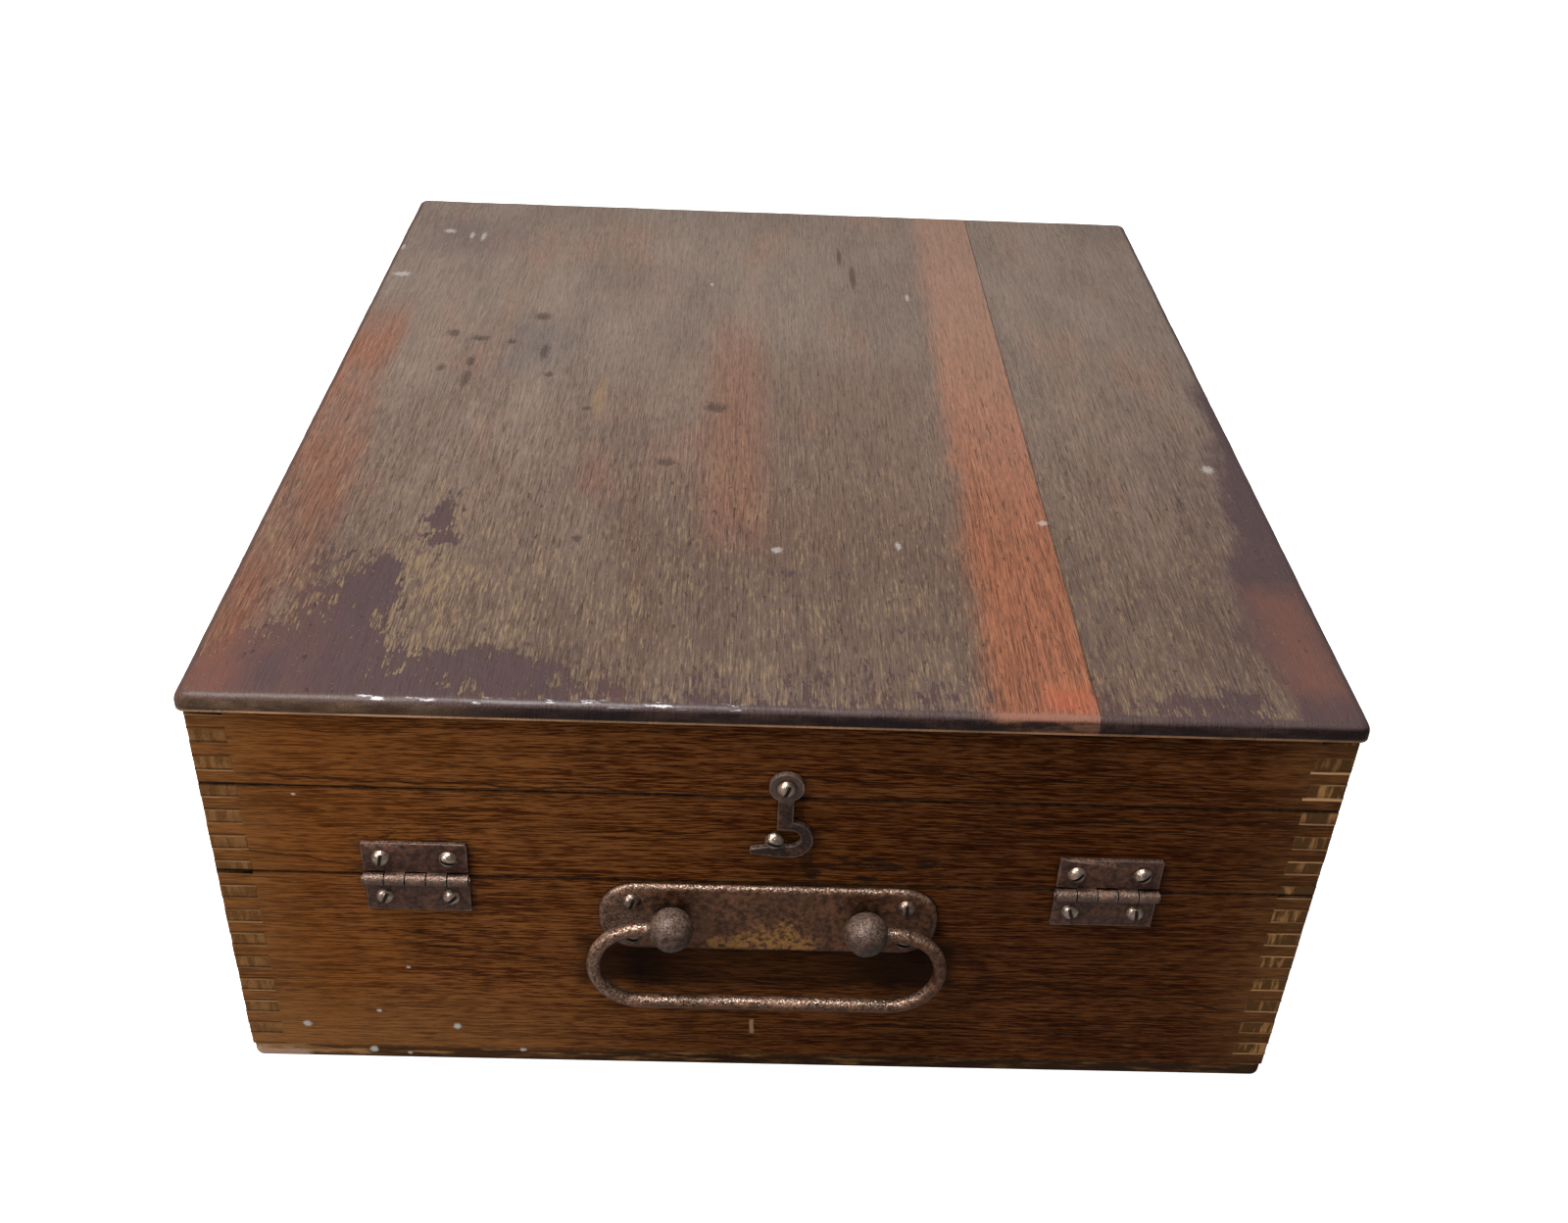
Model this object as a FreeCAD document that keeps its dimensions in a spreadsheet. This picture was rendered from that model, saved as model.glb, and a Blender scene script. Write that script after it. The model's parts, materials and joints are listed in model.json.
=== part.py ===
import FreeCAD, Part
import os
import re
import Sketcher

# Wooden tea caddy in three tiers. The case is finger-jointed all round and then sawn through
# twice, into a base, a tray and a lid. The tray tips forward on two butt hinges across the lower
# seam, the lid lifts back on two more behind the upper seam, a hook latch closes each seam and a
# bail handle hangs on the front.
# Frame: origin at the middle of the underside, X to the right, Y to the back, Z up, millimetres.

SIZES = (
    # The case
    ("case_width", 318, "walls outside, left to right"),
    ("case_depth", 370, "walls outside, front to back"),
    ("wall_thickness", 10.5, "every wall board"),
    ("bottom_thickness", 6, "bottom board"),
    ("lower_seam_height", 79.3, "saw cut between base and tray, above the underside"),
    ("upper_seam_height", 111.6, "saw cut between tray and lid, above the underside"),
    ("wall_top_height", 138, "top of the lid walls, above the underside"),
    ("seam_gap", 0.3, "open width of a closed seam"),
    ("finger_width", 4.8, "one finger of the corner joints"),
    ("finger_clearance", 0.06, "gap on each side of a finger"),
    ("bottom_corner_radius", 3, "upright corners of the bottom board"),
    ("bottom_edge_radius", 2, "lower edge of the bottom board"),
    # The top
    ("top_thickness", 5.5, "both top boards"),
    ("top_overhang", 2, "top past the walls all round"),
    ("top_corner_radius", 5, "upright corners of the top"),
    ("top_edge_radius", 4.2, "rounding of the upper edge"),
    ("top_narrow_width", 74.3, "narrow right-hand board of the top"),
    # The tray floor
    ("floor_thickness", 2.8, "tray floor"),
    ("floor_lift", 2.4, "underside of the floor above the tray's lower edge"),
    ("floor_groove_depth", 3, "groove in the tray walls"),
    ("floor_clearance", 0.15, "floor in its groove, each side"),
    # The divider and the liners
    ("divider_thickness", 6, "board between the two compartments"),
    ("divider_drop", 3, "top of the divider below the base rim"),
    ("dado_depth", 3, "slot for the divider in the front and back walls"),
    ("divider_clearance", 0.15, "divider in its slot, each side"),
    ("liner_sheet", 0.6, "sheet of the liners"),
    ("liner_gap", 0.3, "liner to the wood round it"),
    ("liner_drop", 5, "rim of the liners below the base rim"),
    # The screws
    ("shank_radius", 1.4, "screw shank"),
    ("screw_length", 8, "under the head"),
    ("tip_length", 2.6, "point of the screw"),
    ("tip_radius", 0.2, "end of the point"),
    ("head_radius", 2.75, "round head"),
    ("head_height", 2.1, "round head"),
    ("slot_width", 1.05, "driver slot"),
    ("slot_depth", 0.9, "driver slot"),
    ("shank_clearance", 0.05, "shank in its hole"),
    ("pilot_end_gap", 0.4, "wood hole past the screw point"),
    # The hinges
    ("hinge_length", 29.9, "along the pin"),
    ("hinge_left_inset", 57.5, "middle of a left hinge in from the end of the case"),
    ("hinge_right_inset", 61.3, "middle of a right hinge in from the end of the case"),
    ("leaf_height", 12.8, "from the pin to the edge of the leaf"),
    ("leaf_thickness", 1.2, "leaf"),
    ("leaf_corner_radius", 0.6, "free corners of the leaf"),
    ("barrel_radius", 1.85, "knuckles"),
    ("pin_reach", 2.1, "middle of the pin out from the wood"),
    ("pin_radius", 1, "hinge pin"),
    ("pin_clearance", 0.05, "pin in the knuckles"),
    ("pin_proud", 0.5, "pin past each end of the barrel"),
    ("knuckle_gap", 0.4, "between neighbouring knuckles"),
    ("knuckle_relief", 0.4, "leaf clear of the other leaf's knuckles"),
    ("hinge_screw_spacing", 19.1, "between the two screws of a leaf"),
    ("hinge_screw_reach", 7.3, "screws from the pin"),
    # The hook latches
    ("hook_offset", 3.3, "hook pivot from the middle of the face, to its right"),
    ("hook_pivot_rise", 5, "hook pivot above its seam"),
    ("hook_thickness", 1.6, "plate of the hook"),
    ("hook_gap", 0.3, "play behind the hook and in front of it"),
    ("hook_eye_radius", 4.85, "round end at the pivot"),
    ("hook_arm_width", 4.4, "arm"),
    ("hook_ring_radius", 6.5, "outside of the ring"),
    ("hook_ring_offset", 1.6, "middle of the ring to the right of the pivot"),
    ("hook_ring_drop", 19, "middle of the ring below the pivot"),
    ("hook_mouth_width", 6.2, "open mouth of the ring"),
    ("hook_mouth_rise", 0.6, "middle of the mouth above the middle of the ring"),
    ("hook_tail_length", 11.2, "tail from the middle of the ring to its tip"),
    ("hook_tail_tip", 1.8, "height of the tail at its tip"),
    ("catch_offset", 2.8, "catch screw to the left of the pivot"),
    ("pivot_clearance", 0.08, "hook eye round its screw"),
    # The handle
    ("plate_length", 99.5, "handle plate, left to right"),
    ("plate_height", 25.4, "handle plate, up and down"),
    ("plate_thickness", 2.2, "handle plate"),
    ("plate_corner_radius", 11, "corners of the plate"),
    ("plate_edge_radius", 1.7, "front edge of the plate"),
    ("plate_centre_height", 65.9, "middle of the plate above the underside"),
    ("plate_screw_offset", 40, "screws from the middle, left and right"),
    ("plate_screw_rise", 6.8, "screws from the middle, up and down"),
    ("boss_offset", 28.2, "ball from the middle of the plate, left and right"),
    ("boss_radius", 6.6, "ball"),
    ("boss_reach", 8, "middle of the ball out from the wood"),
    ("tenon_radius", 3.2, "riveted end of the ball"),
    ("tenon_clearance", 0.05, "riveted end in the plate"),
    ("bail_height", 67.5, "bail pivot above the underside"),
    ("bail_radius", 2.1, "rod of the bail"),
    ("bail_bend_radius", 14.85, "end bends, at the middle of the rod"),
    ("bail_bend_offset", 36.2, "middle of each end bend from the middle of the bail"),
    ("bail_inset", 2, "end of the rod past the middle of the ball"),
    ("bail_clearance", 0.06, "rod in the ball"),
    ("bail_end_gap", 0.4, "hole past the end of the rod"),
)
ALIASES = {alias for alias, value, meaning in SIZES}
KNUCKLES = 5

X_AXIS = FreeCAD.Vector(1, 0, 0)
Z_AXIS = FreeCAD.Vector(0, 0, 1)
# Fittings are drawn flat with Z away from the wood. These turn that drawing onto each face.
FACE_TURN = {
    "front": FreeCAD.Rotation(X_AXIS, 90),
    "rear": FreeCAD.Rotation(Z_AXIS, 180) * FreeCAD.Rotation(X_AXIS, 90),
}
HALF_TURN = FreeCAD.Rotation(Z_AXIS, 180)

doc = FreeCAD.newDocument("tea_caddy")
sheet = doc.addObject("Spreadsheet::Sheet", "sizes")
for row, (alias, value, meaning) in enumerate(SIZES, start=1):
    sheet.set("A%d" % row, meaning)
    sheet.set("B%d" % row, str(value))
    sheet.setAlias("B%d" % row, alias)
doc.recompute()

pieces = []


def cell(word):
    """A word of a formula as the sheet knows it; names of functions stay as they are."""
    return "sizes." + word if word in ALIASES else word


def tie(item, prop, formula):
    """Ties a property to the sheet. Words in the formula are aliases of its cells."""
    item.setExpression(prop, re.sub(r"[a-z]\w*", lambda found: cell(found.group()), formula))


def place(item, x, y, z, turn=FreeCAD.Rotation()):
    """Gives an object its turn and ties its position to the sheet."""
    item.Placement = FreeCAD.Placement(FreeCAD.Vector(), turn)
    for axis, formula in zip("xyz", (x, y, z)):
        tie(item, "Placement.Base." + axis, formula)


def place_on_face(item, face, across, up, out, spin=FreeCAD.Rotation()):
    """Sets a flat-drawn fitting on the front or rear face, across and up as seen from outside."""
    turn = FACE_TURN[face] * spin
    if face == "front":
        place(item, across, "-case_depth / 2 - (%s)" % out, up, turn)
    else:
        place(item, "-(%s)" % across, "case_depth / 2 + (%s)" % out, up, turn)


def new_body(label):
    """A body that becomes one named piece of the part."""
    body = doc.addObject("PartDesign::Body", label)
    body.Label = label
    pieces.append(body)
    return body


def origin_of(body, role):
    """One of the body's own planes or axes."""
    return next(item for item in body.Origin.OriginFeatures if item.Role == role)


def new_sketch(body, plane="XY_Plane", lift="0"):
    """A sketch on one of the body's planes, moved along its normal by a formula."""
    sketch = body.newObject("Sketcher::SketchObject", body.Name + "_sketch")
    sketch.AttachmentSupport = [(origin_of(body, plane), "")]
    sketch.MapMode = "FlatFace"
    tie(sketch, "AttachmentOffset.Base.z", lift)
    return sketch


def dimension(sketch, kind, geometry, point, formula):
    """Holds a sketch point at a signed distance from the sketch's origin."""
    index = sketch.addConstraint(Sketcher.Constraint(kind, -1, 1, geometry, point, 1.0))
    sketch.renameConstraint(index, "size_%d" % index)
    tie(sketch, "Constraints.size_%d" % index, formula)


def add_polygon(sketch, corners):
    """A closed outline, each corner given by two formulas."""
    vectors = [FreeCAD.Vector(index, index * index, 0) for index in range(len(corners))]
    lines = []
    for index, start in enumerate(vectors):
        lines.append(sketch.addGeometry(Part.LineSegment(start, vectors[index - len(vectors) + 1])))
    for index, line in enumerate(lines):
        following = lines[index - len(lines) + 1]
        sketch.addConstraint(Sketcher.Constraint("Coincident", line, 2, following, 1))
    for line, (across, up) in zip(lines, corners):
        dimension(sketch, "DistanceX", line, 1, across)
        dimension(sketch, "DistanceY", line, 1, up)


def add_rectangle(sketch, left, bottom, right, top):
    """A rectangle between two corners given by formulas."""
    add_polygon(sketch, [(left, bottom), (right, bottom), (right, top), (left, top)])


def add_circle(sketch, across, up, radius):
    """A circle placed and sized by formulas."""
    circle = sketch.addGeometry(Part.Circle(FreeCAD.Vector(), Z_AXIS, 1.0))
    dimension(sketch, "DistanceX", circle, 3, across)
    dimension(sketch, "DistanceY", circle, 3, up)
    index = sketch.addConstraint(Sketcher.Constraint("Radius", circle, 1.0))
    sketch.renameConstraint(index, "size_%d" % index)
    tie(sketch, "Constraints.size_%d" % index, radius)


def pad(body, sketch, length, symmetric=False):
    """Raises a sketch into a solid, along its normal or to both sides of it."""
    feature = body.newObject("PartDesign::Pad", body.Name + "_pad")
    feature.Profile = sketch
    if symmetric:
        feature.SideType = "Symmetric"
    tie(feature, "Length", length)
    return feature


def pocket(body, sketch, depth=None, along_normal=False):
    """Cuts a sketch out of the body: to a depth, or right through both ways."""
    doc.recompute()
    before = body.Shape.Volume
    feature = body.newObject("PartDesign::Pocket", body.Name + "_pocket")
    feature.Profile = sketch
    if depth is None:
        feature.Type = "ThroughAll"
        feature.SideType = "Symmetric"
    else:
        feature.Reversed = along_normal
        tie(feature, "Length", depth)
    doc.recompute()
    if not body.Shape.Volume < before:
        raise RuntimeError("a pocket of %s cuts nothing" % body.Label)
    return feature


def round_edges(body, radius, wanted):
    """Fillets those edges of the body that the test picks."""
    doc.recompute()
    base = body.Tip
    names = ["Edge%d" % index for index, edge in enumerate(base.Shape.Edges, start=1) if wanted(edge)]
    feature = body.newObject("PartDesign::Fillet", body.Name + "_fillet")
    feature.Base = (base, names)
    tie(feature, "Radius", radius)
    return feature


def is_upright(edge):
    """A straight edge along Z."""
    box = edge.BoundBox
    return box.XLength < 1e-6 and box.YLength < 1e-6


def lies_at(edge, axis, level):
    """An edge that lies wholly at one level of an axis."""
    low = getattr(edge.BoundBox, axis + "Min")
    high = getattr(edge.BoundBox, axis + "Max")
    return abs(low - level) < 1e-6 and abs(high - level) < 1e-6


# The tiers: lower and upper edge of the walls
TIERS = {
    "base": ("bottom_thickness", "lower_seam_height - seam_gap / 2"),
    "tray": ("lower_seam_height + seam_gap / 2", "upper_seam_height - seam_gap / 2"),
    "lid": ("upper_seam_height + seam_gap / 2", "wall_top_height"),
}
INNER_WIDTH = "(case_width - 2 * wall_thickness)"
INNER_DEPTH = "(case_depth - 2 * wall_thickness)"


def cut_comb(body, tier, length, shift, play):
    """Cuts the finger notches of both ends. The comb starts at the bottom board and runs on
    through the seams, so a seam may part a finger. Slivers under 0.01 are left out."""
    low, high = TIERS[tier]
    start = "(bottom_thickness + %s)" % shift
    first = "(floor((%s + 0.01 - %s - finger_width) / (2 * finger_width)) + 1)" % (low, start)
    last = "(ceil((%s - 0.01 - %s) / (2 * finger_width)) - 1)" % (high, start)
    lift = "%s + 2 * finger_width * %s - (%s) - %s" % (start, first, low, play)
    sketch = new_sketch(body, lift=lift)
    shoulder = "%s / 2 - wall_thickness" % length
    end = "%s / 2 + 1" % length
    add_rectangle(sketch, shoulder, "-1", end, "wall_thickness + 1")
    add_rectangle(sketch, "-(%s)" % end, "-1", "-(%s)" % shoulder, "wall_thickness + 1")
    notch = pocket(body, sketch, "finger_width + 2 * %s" % play, along_normal=True)
    comb = body.newObject("PartDesign::LinearPattern", body.Name + "_comb")
    comb.Originals = [notch]
    comb.Direction = (origin_of(body, "Z_Axis"), [""])
    comb.Mode = "Spacing"
    tie(comb, "Offset", "2 * finger_width")
    tie(comb, "Occurrences", "%s - %s + 1" % (last, first))
    body.Tip = comb


def drill_pilots(body, tier, seats, stack):
    """Drills screw holes into the outer face. A seat is across and up, as seen from outside, and
    the stack is what lies between the screw head and the wood."""
    sketch = new_sketch(body, "XZ_Plane")
    for across, up in seats:
        add_circle(sketch, across, "%s - (%s)" % (up, TIERS[tier][0]), "shank_radius + shank_clearance")
    pocket(body, sketch, "screw_length - (%s) + pilot_end_gap" % stack)


def wall_board(label, tier, side):
    """One wall board: outer face on the local XZ plane, ends notched for the corner joints."""
    low, high = TIERS[tier]
    across = side in ("front", "rear")
    length = "case_width" if across else "case_depth"
    body = new_body(label)
    blank = new_sketch(body)
    add_rectangle(blank, "-%s / 2" % length, "0", "%s / 2" % length, "wall_thickness")
    pad(body, blank, "%s - (%s)" % (high, low))
    if across:
        cut_comb(body, tier, length, "finger_width", "0")
    else:
        cut_comb(body, tier, length, "0", "finger_clearance")
    if tier == "tray":
        groove = new_sketch(body, lift="floor_lift - floor_clearance")
        reach = "%s / 2 - wall_thickness + floor_groove_depth" % length
        depth = "wall_thickness - floor_groove_depth"
        add_rectangle(groove, "-(%s)" % reach, depth, reach, "wall_thickness + 1")
        pocket(body, groove, "floor_thickness + 2 * floor_clearance", along_normal=True)
    if tier == "base" and across:
        dado = new_sketch(body)
        half = "divider_thickness / 2 + divider_clearance"
        add_rectangle(dado, "-(%s)" % half, "wall_thickness - dado_depth", half, "wall_thickness + 1")
        pocket(body, dado)
    place(body, *SIDE_PLACES[side], low, FreeCAD.Rotation(Z_AXIS, SIDE_YAWS[side]))
    return body


SIDE_YAWS = {"front": 0, "rear": 180, "left": -90, "right": 90}
SIDE_PLACES = {
    "front": ("0", "-case_depth / 2"),
    "rear": ("0", "case_depth / 2"),
    "left": ("-case_width / 2", "0"),
    "right": ("case_width / 2", "0"),
}

# Where the fittings sit on the two faces, across and up as seen from outside
SEAMS = {"front": "lower_seam_height", "rear": "upper_seam_height"}
HOOK_SEAMS = {"front": "upper_seam_height", "rear": "lower_seam_height"}
HINGE_SPOTS = {
    "front": {"left": "hinge_left_inset - case_width / 2", "right": "case_width / 2 - hinge_right_inset"},
    "rear": {"left": "case_width / 2 - hinge_left_inset", "right": "hinge_right_inset - case_width / 2"},
}
HOOK_STACK = "hook_thickness + 2 * hook_gap"


def hinge_seats(face, rise):
    """The four screw seats of both hinges on a face, above the pin or below it."""
    seats = []
    for spot in HINGE_SPOTS[face].values():
        for half in ("-", "+"):
            across = "(%s) %s hinge_screw_spacing / 2" % (spot, half)
            seats.append((across, "%s %s hinge_screw_reach" % (SEAMS[face], rise)))
    return seats


def hook_seat(face):
    """The hook's pivot screw."""
    return ("hook_offset", "%s + hook_pivot_rise" % HOOK_SEAMS[face])


def catch_seat(face):
    """The screw that the hook closes round."""
    return ("hook_offset - catch_offset", "%s + hook_pivot_rise - hook_ring_drop" % HOOK_SEAMS[face])


PLATE_SEATS = [
    ("%splate_screw_offset" % across, "plate_centre_height %s plate_screw_rise" % up)
    for up in "+-"
    for across in ("-", "")
]

# The walls, with the screw holes of what is fixed to them
walls = {}
for tier in TIERS:
    for side in SIDE_YAWS:
        walls[tier, side] = wall_board("%s_%s_board" % (tier, side), tier, side)
drill_pilots(walls["base", "front"], "base", hinge_seats("front", "-"), "leaf_thickness")
drill_pilots(walls["base", "front"], "base", PLATE_SEATS, "plate_thickness")
drill_pilots(walls["base", "rear"], "base", [catch_seat("rear")], HOOK_STACK)
drill_pilots(walls["tray", "front"], "tray", hinge_seats("front", "+"), "leaf_thickness")
drill_pilots(walls["tray", "front"], "tray", [catch_seat("front")], HOOK_STACK)
drill_pilots(walls["tray", "rear"], "tray", hinge_seats("rear", "-"), "leaf_thickness")
drill_pilots(walls["tray", "rear"], "tray", [hook_seat("rear")], HOOK_STACK)
drill_pilots(walls["lid", "front"], "lid", [hook_seat("front")], HOOK_STACK)
drill_pilots(walls["lid", "rear"], "lid", hinge_seats("rear", "+"), "leaf_thickness")

# The bottom board, flush with the walls
bottom = new_body("bottom_board")
outline = new_sketch(bottom)
add_rectangle(outline, "-case_width / 2", "-case_depth / 2", "case_width / 2", "case_depth / 2")
pad(bottom, outline, "bottom_thickness")
round_edges(bottom, "bottom_corner_radius", is_upright)
round_edges(bottom, "bottom_edge_radius", lambda edge: lies_at(edge, "Z", 0))


def top_board(label, left, right, joint):
    """One of the two boards of the top, with every edge but the glue line rounded over."""
    body = new_body(label)
    front = "-case_depth / 2 - top_overhang"
    outline = new_sketch(body)
    add_rectangle(outline, left, front, right, "-(%s)" % front)
    pad(body, outline, "top_thickness")
    doc.recompute()
    glue_line = getattr(body.Shape.BoundBox, joint)
    level = body.Shape.BoundBox.ZMax
    round_edges(
        body, "top_corner_radius", lambda edge: is_upright(edge) and not lies_at(edge, "X", glue_line)
    )
    round_edges(
        body,
        "top_edge_radius",
        lambda edge: lies_at(edge, "Z", level) and not lies_at(edge, "X", glue_line),
    )
    place(body, "0", "0", "wall_top_height")


TOP_RIGHT = "case_width / 2 + top_overhang"
TOP_JOINT = TOP_RIGHT + " - top_narrow_width"
top_board("top_board_left", "-(%s)" % TOP_RIGHT, TOP_JOINT, "XMax")
top_board("top_board_right", TOP_JOINT, TOP_RIGHT, "XMin")

# The tray floor, held all round in the groove
floor = new_body("tray_floor")
outline = new_sketch(floor)
half_width = "%s / 2 + floor_groove_depth - floor_clearance" % INNER_WIDTH
half_depth = "%s / 2 + floor_groove_depth - floor_clearance" % INNER_DEPTH
add_rectangle(outline, "-(%s)" % half_width, "-(%s)" % half_depth, half_width, half_depth)
pad(floor, outline, "floor_thickness")
place(floor, "0", "0", "%s + floor_lift" % TIERS["tray"][0])

# The divider, standing on the bottom board in its two slots
divider = new_body("base_divider")
outline = new_sketch(divider)
half_depth = "%s / 2 + dado_depth - divider_clearance" % INNER_DEPTH
add_rectangle(
    outline, "-divider_thickness / 2", "-(%s)" % half_depth, "divider_thickness / 2", half_depth
)
BASE_WALL_HEIGHT = "(%s - bottom_thickness)" % TIERS["base"][1]
pad(divider, outline, "%s - divider_drop" % BASE_WALL_HEIGHT)
place(divider, "0", "0", "bottom_thickness")


def liner(label, side):
    """An open box of sheet metal that fills one compartment of the base."""
    body = new_body(label)
    near = "divider_thickness / 2 + liner_gap"
    far = "%s / 2 - liner_gap" % INNER_WIDTH
    back = "%s / 2 - liner_gap" % INNER_DEPTH
    outer = new_sketch(body)
    add_rectangle(outer, near, "-(%s)" % back, far, back)
    pad(body, outer, "%s - liner_drop" % BASE_WALL_HEIGHT)
    inner = new_sketch(body, lift="liner_sheet")
    back_inner = "%s - liner_sheet" % back
    add_rectangle(
        inner, near + " + liner_sheet", "-(%s)" % back_inner, far + " - liner_sheet", back_inner
    )
    pocket(body, inner, BASE_WALL_HEIGHT, along_normal=True)
    place(body, "0", "0", "bottom_thickness", HALF_TURN if side == "left" else FreeCAD.Rotation())


liner("tea_liner_left", "left")
liner("tea_liner_right", "right")

# One round-head screw, head up with its seat at the origin; the sets below repeat it
screw = doc.addObject("PartDesign::Body", "round_head_screw")
DOME_RADIUS = "((head_radius * head_radius + head_height * head_height) / (2 * head_height))"
dome = screw.newObject("PartDesign::AdditiveSphere", "screw_dome")
tie(dome, "Radius", DOME_RADIUS)
tie(dome, "Angle1", "asin((%s - head_height) / %s)" % (DOME_RADIUS, DOME_RADIUS))
place(dome, "0", "0", "head_height - %s" % DOME_RADIUS)
shank = screw.newObject("PartDesign::AdditiveCylinder", "screw_shank")
tie(shank, "Radius", "shank_radius")
tie(shank, "Height", "screw_length - tip_length")
place(shank, "0", "0", "tip_length - screw_length")
tip = screw.newObject("PartDesign::AdditiveCone", "screw_tip")
tie(tip, "Radius1", "tip_radius")
tie(tip, "Radius2", "shank_radius")
tie(tip, "Height", "tip_length")
place(tip, "0", "0", "-screw_length")
slot = screw.newObject("PartDesign::SubtractiveBox", "screw_slot")
tie(slot, "Length", "2 * head_radius + 2")
tie(slot, "Width", "slot_width")
tie(slot, "Height", "slot_depth + 1")
place(slot, "-head_radius - 1", "-slot_width / 2", "head_height - slot_depth")
doc.recompute()


def screw_set(label, face, seats, stack, slot_angles):
    """A set of like screws in their seats, each with its slot left at its own angle."""
    links = []
    for (across, up), angle in zip(seats, slot_angles):
        link = doc.addObject("App::Link", label + "_screw")
        link.LinkedObject = screw
        place_on_face(link, face, across, up, stack, FreeCAD.Rotation(Z_AXIS, angle))
        links.append(link)
    group = doc.addObject("Part::Compound", label)
    group.Label = label
    group.Links = links
    pieces.append(group)


screw_set("front_hinge_lower_screws", "front", hinge_seats("front", "-"), "leaf_thickness", (64, 40, 108, 92))
screw_set("front_hinge_upper_screws", "front", hinge_seats("front", "+"), "leaf_thickness", (79, 166, 40, 33))
screw_set("rear_hinge_lower_screws", "rear", hinge_seats("rear", "-"), "leaf_thickness", (15, 80, 132, 52))
screw_set("rear_hinge_upper_screws", "rear", hinge_seats("rear", "+"), "leaf_thickness", (100, 36, 5, 66))
screw_set("handle_plate_screws", "front", PLATE_SEATS, "plate_thickness", (68, 90, 170, 170))
screw_set("front_hook_pivot_screw", "front", [hook_seat("front")], HOOK_STACK, (67,))
screw_set("front_hook_catch_screw", "front", [catch_seat("front")], HOOK_STACK, (167,))
screw_set("rear_hook_pivot_screw", "rear", [hook_seat("rear")], HOOK_STACK, (40,))
screw_set("rear_hook_catch_screw", "rear", [catch_seat("rear")], HOOK_STACK, (84,))


def hinge_leaf(label, face, spot, part):
    """One leaf with its share of the knuckles, drawn as the upper leaf with the pin along X.
    The lower leaf is the same drawing turned round, with the odd knuckles and the pin."""
    own = [index for index in range(KNUCKLES) if index % 2 == (0 if part == "lower" else 1)]
    body = new_body(label)
    plate = new_sketch(body)
    add_rectangle(plate, "-hinge_length / 2", "0", "hinge_length / 2", "leaf_height")
    pad(body, plate, "leaf_thickness")
    doc.recompute()
    edge_level = body.Shape.BoundBox.YMax
    round_edges(
        body, "leaf_corner_radius", lambda edge: is_upright(edge) and lies_at(edge, "Y", edge_level)
    )
    barrel = new_sketch(body, "YZ_Plane")
    add_circle(barrel, "0", "pin_reach", "barrel_radius")
    pad(body, barrel, "hinge_length", symmetric=True)
    gaps = new_sketch(body)
    for index in range(KNUCKLES):
        if index in own:
            continue
        left = "hinge_length * %d / %d - hinge_length / 2 - knuckle_gap / 2" % (index, KNUCKLES)
        right = "hinge_length * %d / %d - hinge_length / 2 + knuckle_gap / 2" % (index + 1, KNUCKLES)
        if index == 0:
            left = "-hinge_length / 2 - 1"
        if index == KNUCKLES - 1:
            right = "hinge_length / 2 + 1"
        add_rectangle(gaps, left, "-barrel_radius - 1", right, "barrel_radius + knuckle_relief")
    pocket(body, gaps)
    bore = new_sketch(body, "YZ_Plane")
    add_circle(bore, "0", "pin_reach", "pin_radius + pin_clearance")
    pocket(body, bore)
    holes = new_sketch(body)
    for half in ("-", ""):
        across = half + "hinge_screw_spacing / 2"
        add_circle(holes, across, "hinge_screw_reach", "shank_radius + shank_clearance")
    pocket(body, holes)
    spin = HALF_TURN if part == "lower" else FreeCAD.Rotation()
    place_on_face(body, face, spot, SEAMS[face], "0", spin)


def hinge_pin(label, face, spot):
    """The pin through all knuckles, a little proud at both ends."""
    body = new_body(label)
    end = new_sketch(body, "YZ_Plane")
    add_circle(end, "0", "pin_reach", "pin_radius")
    pad(body, end, "hinge_length + 2 * pin_proud", symmetric=True)
    place_on_face(body, face, spot, SEAMS[face], "0")


for face, spots in HINGE_SPOTS.items():
    for side, spot in spots.items():
        name = "%s_hinge_%s" % (face, side)
        hinge_leaf(name + "_lower_leaf", face, spot, "lower")
        hinge_leaf(name + "_upper_leaf", face, spot, "upper")
        hinge_pin(name + "_pin", face, spot)


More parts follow.
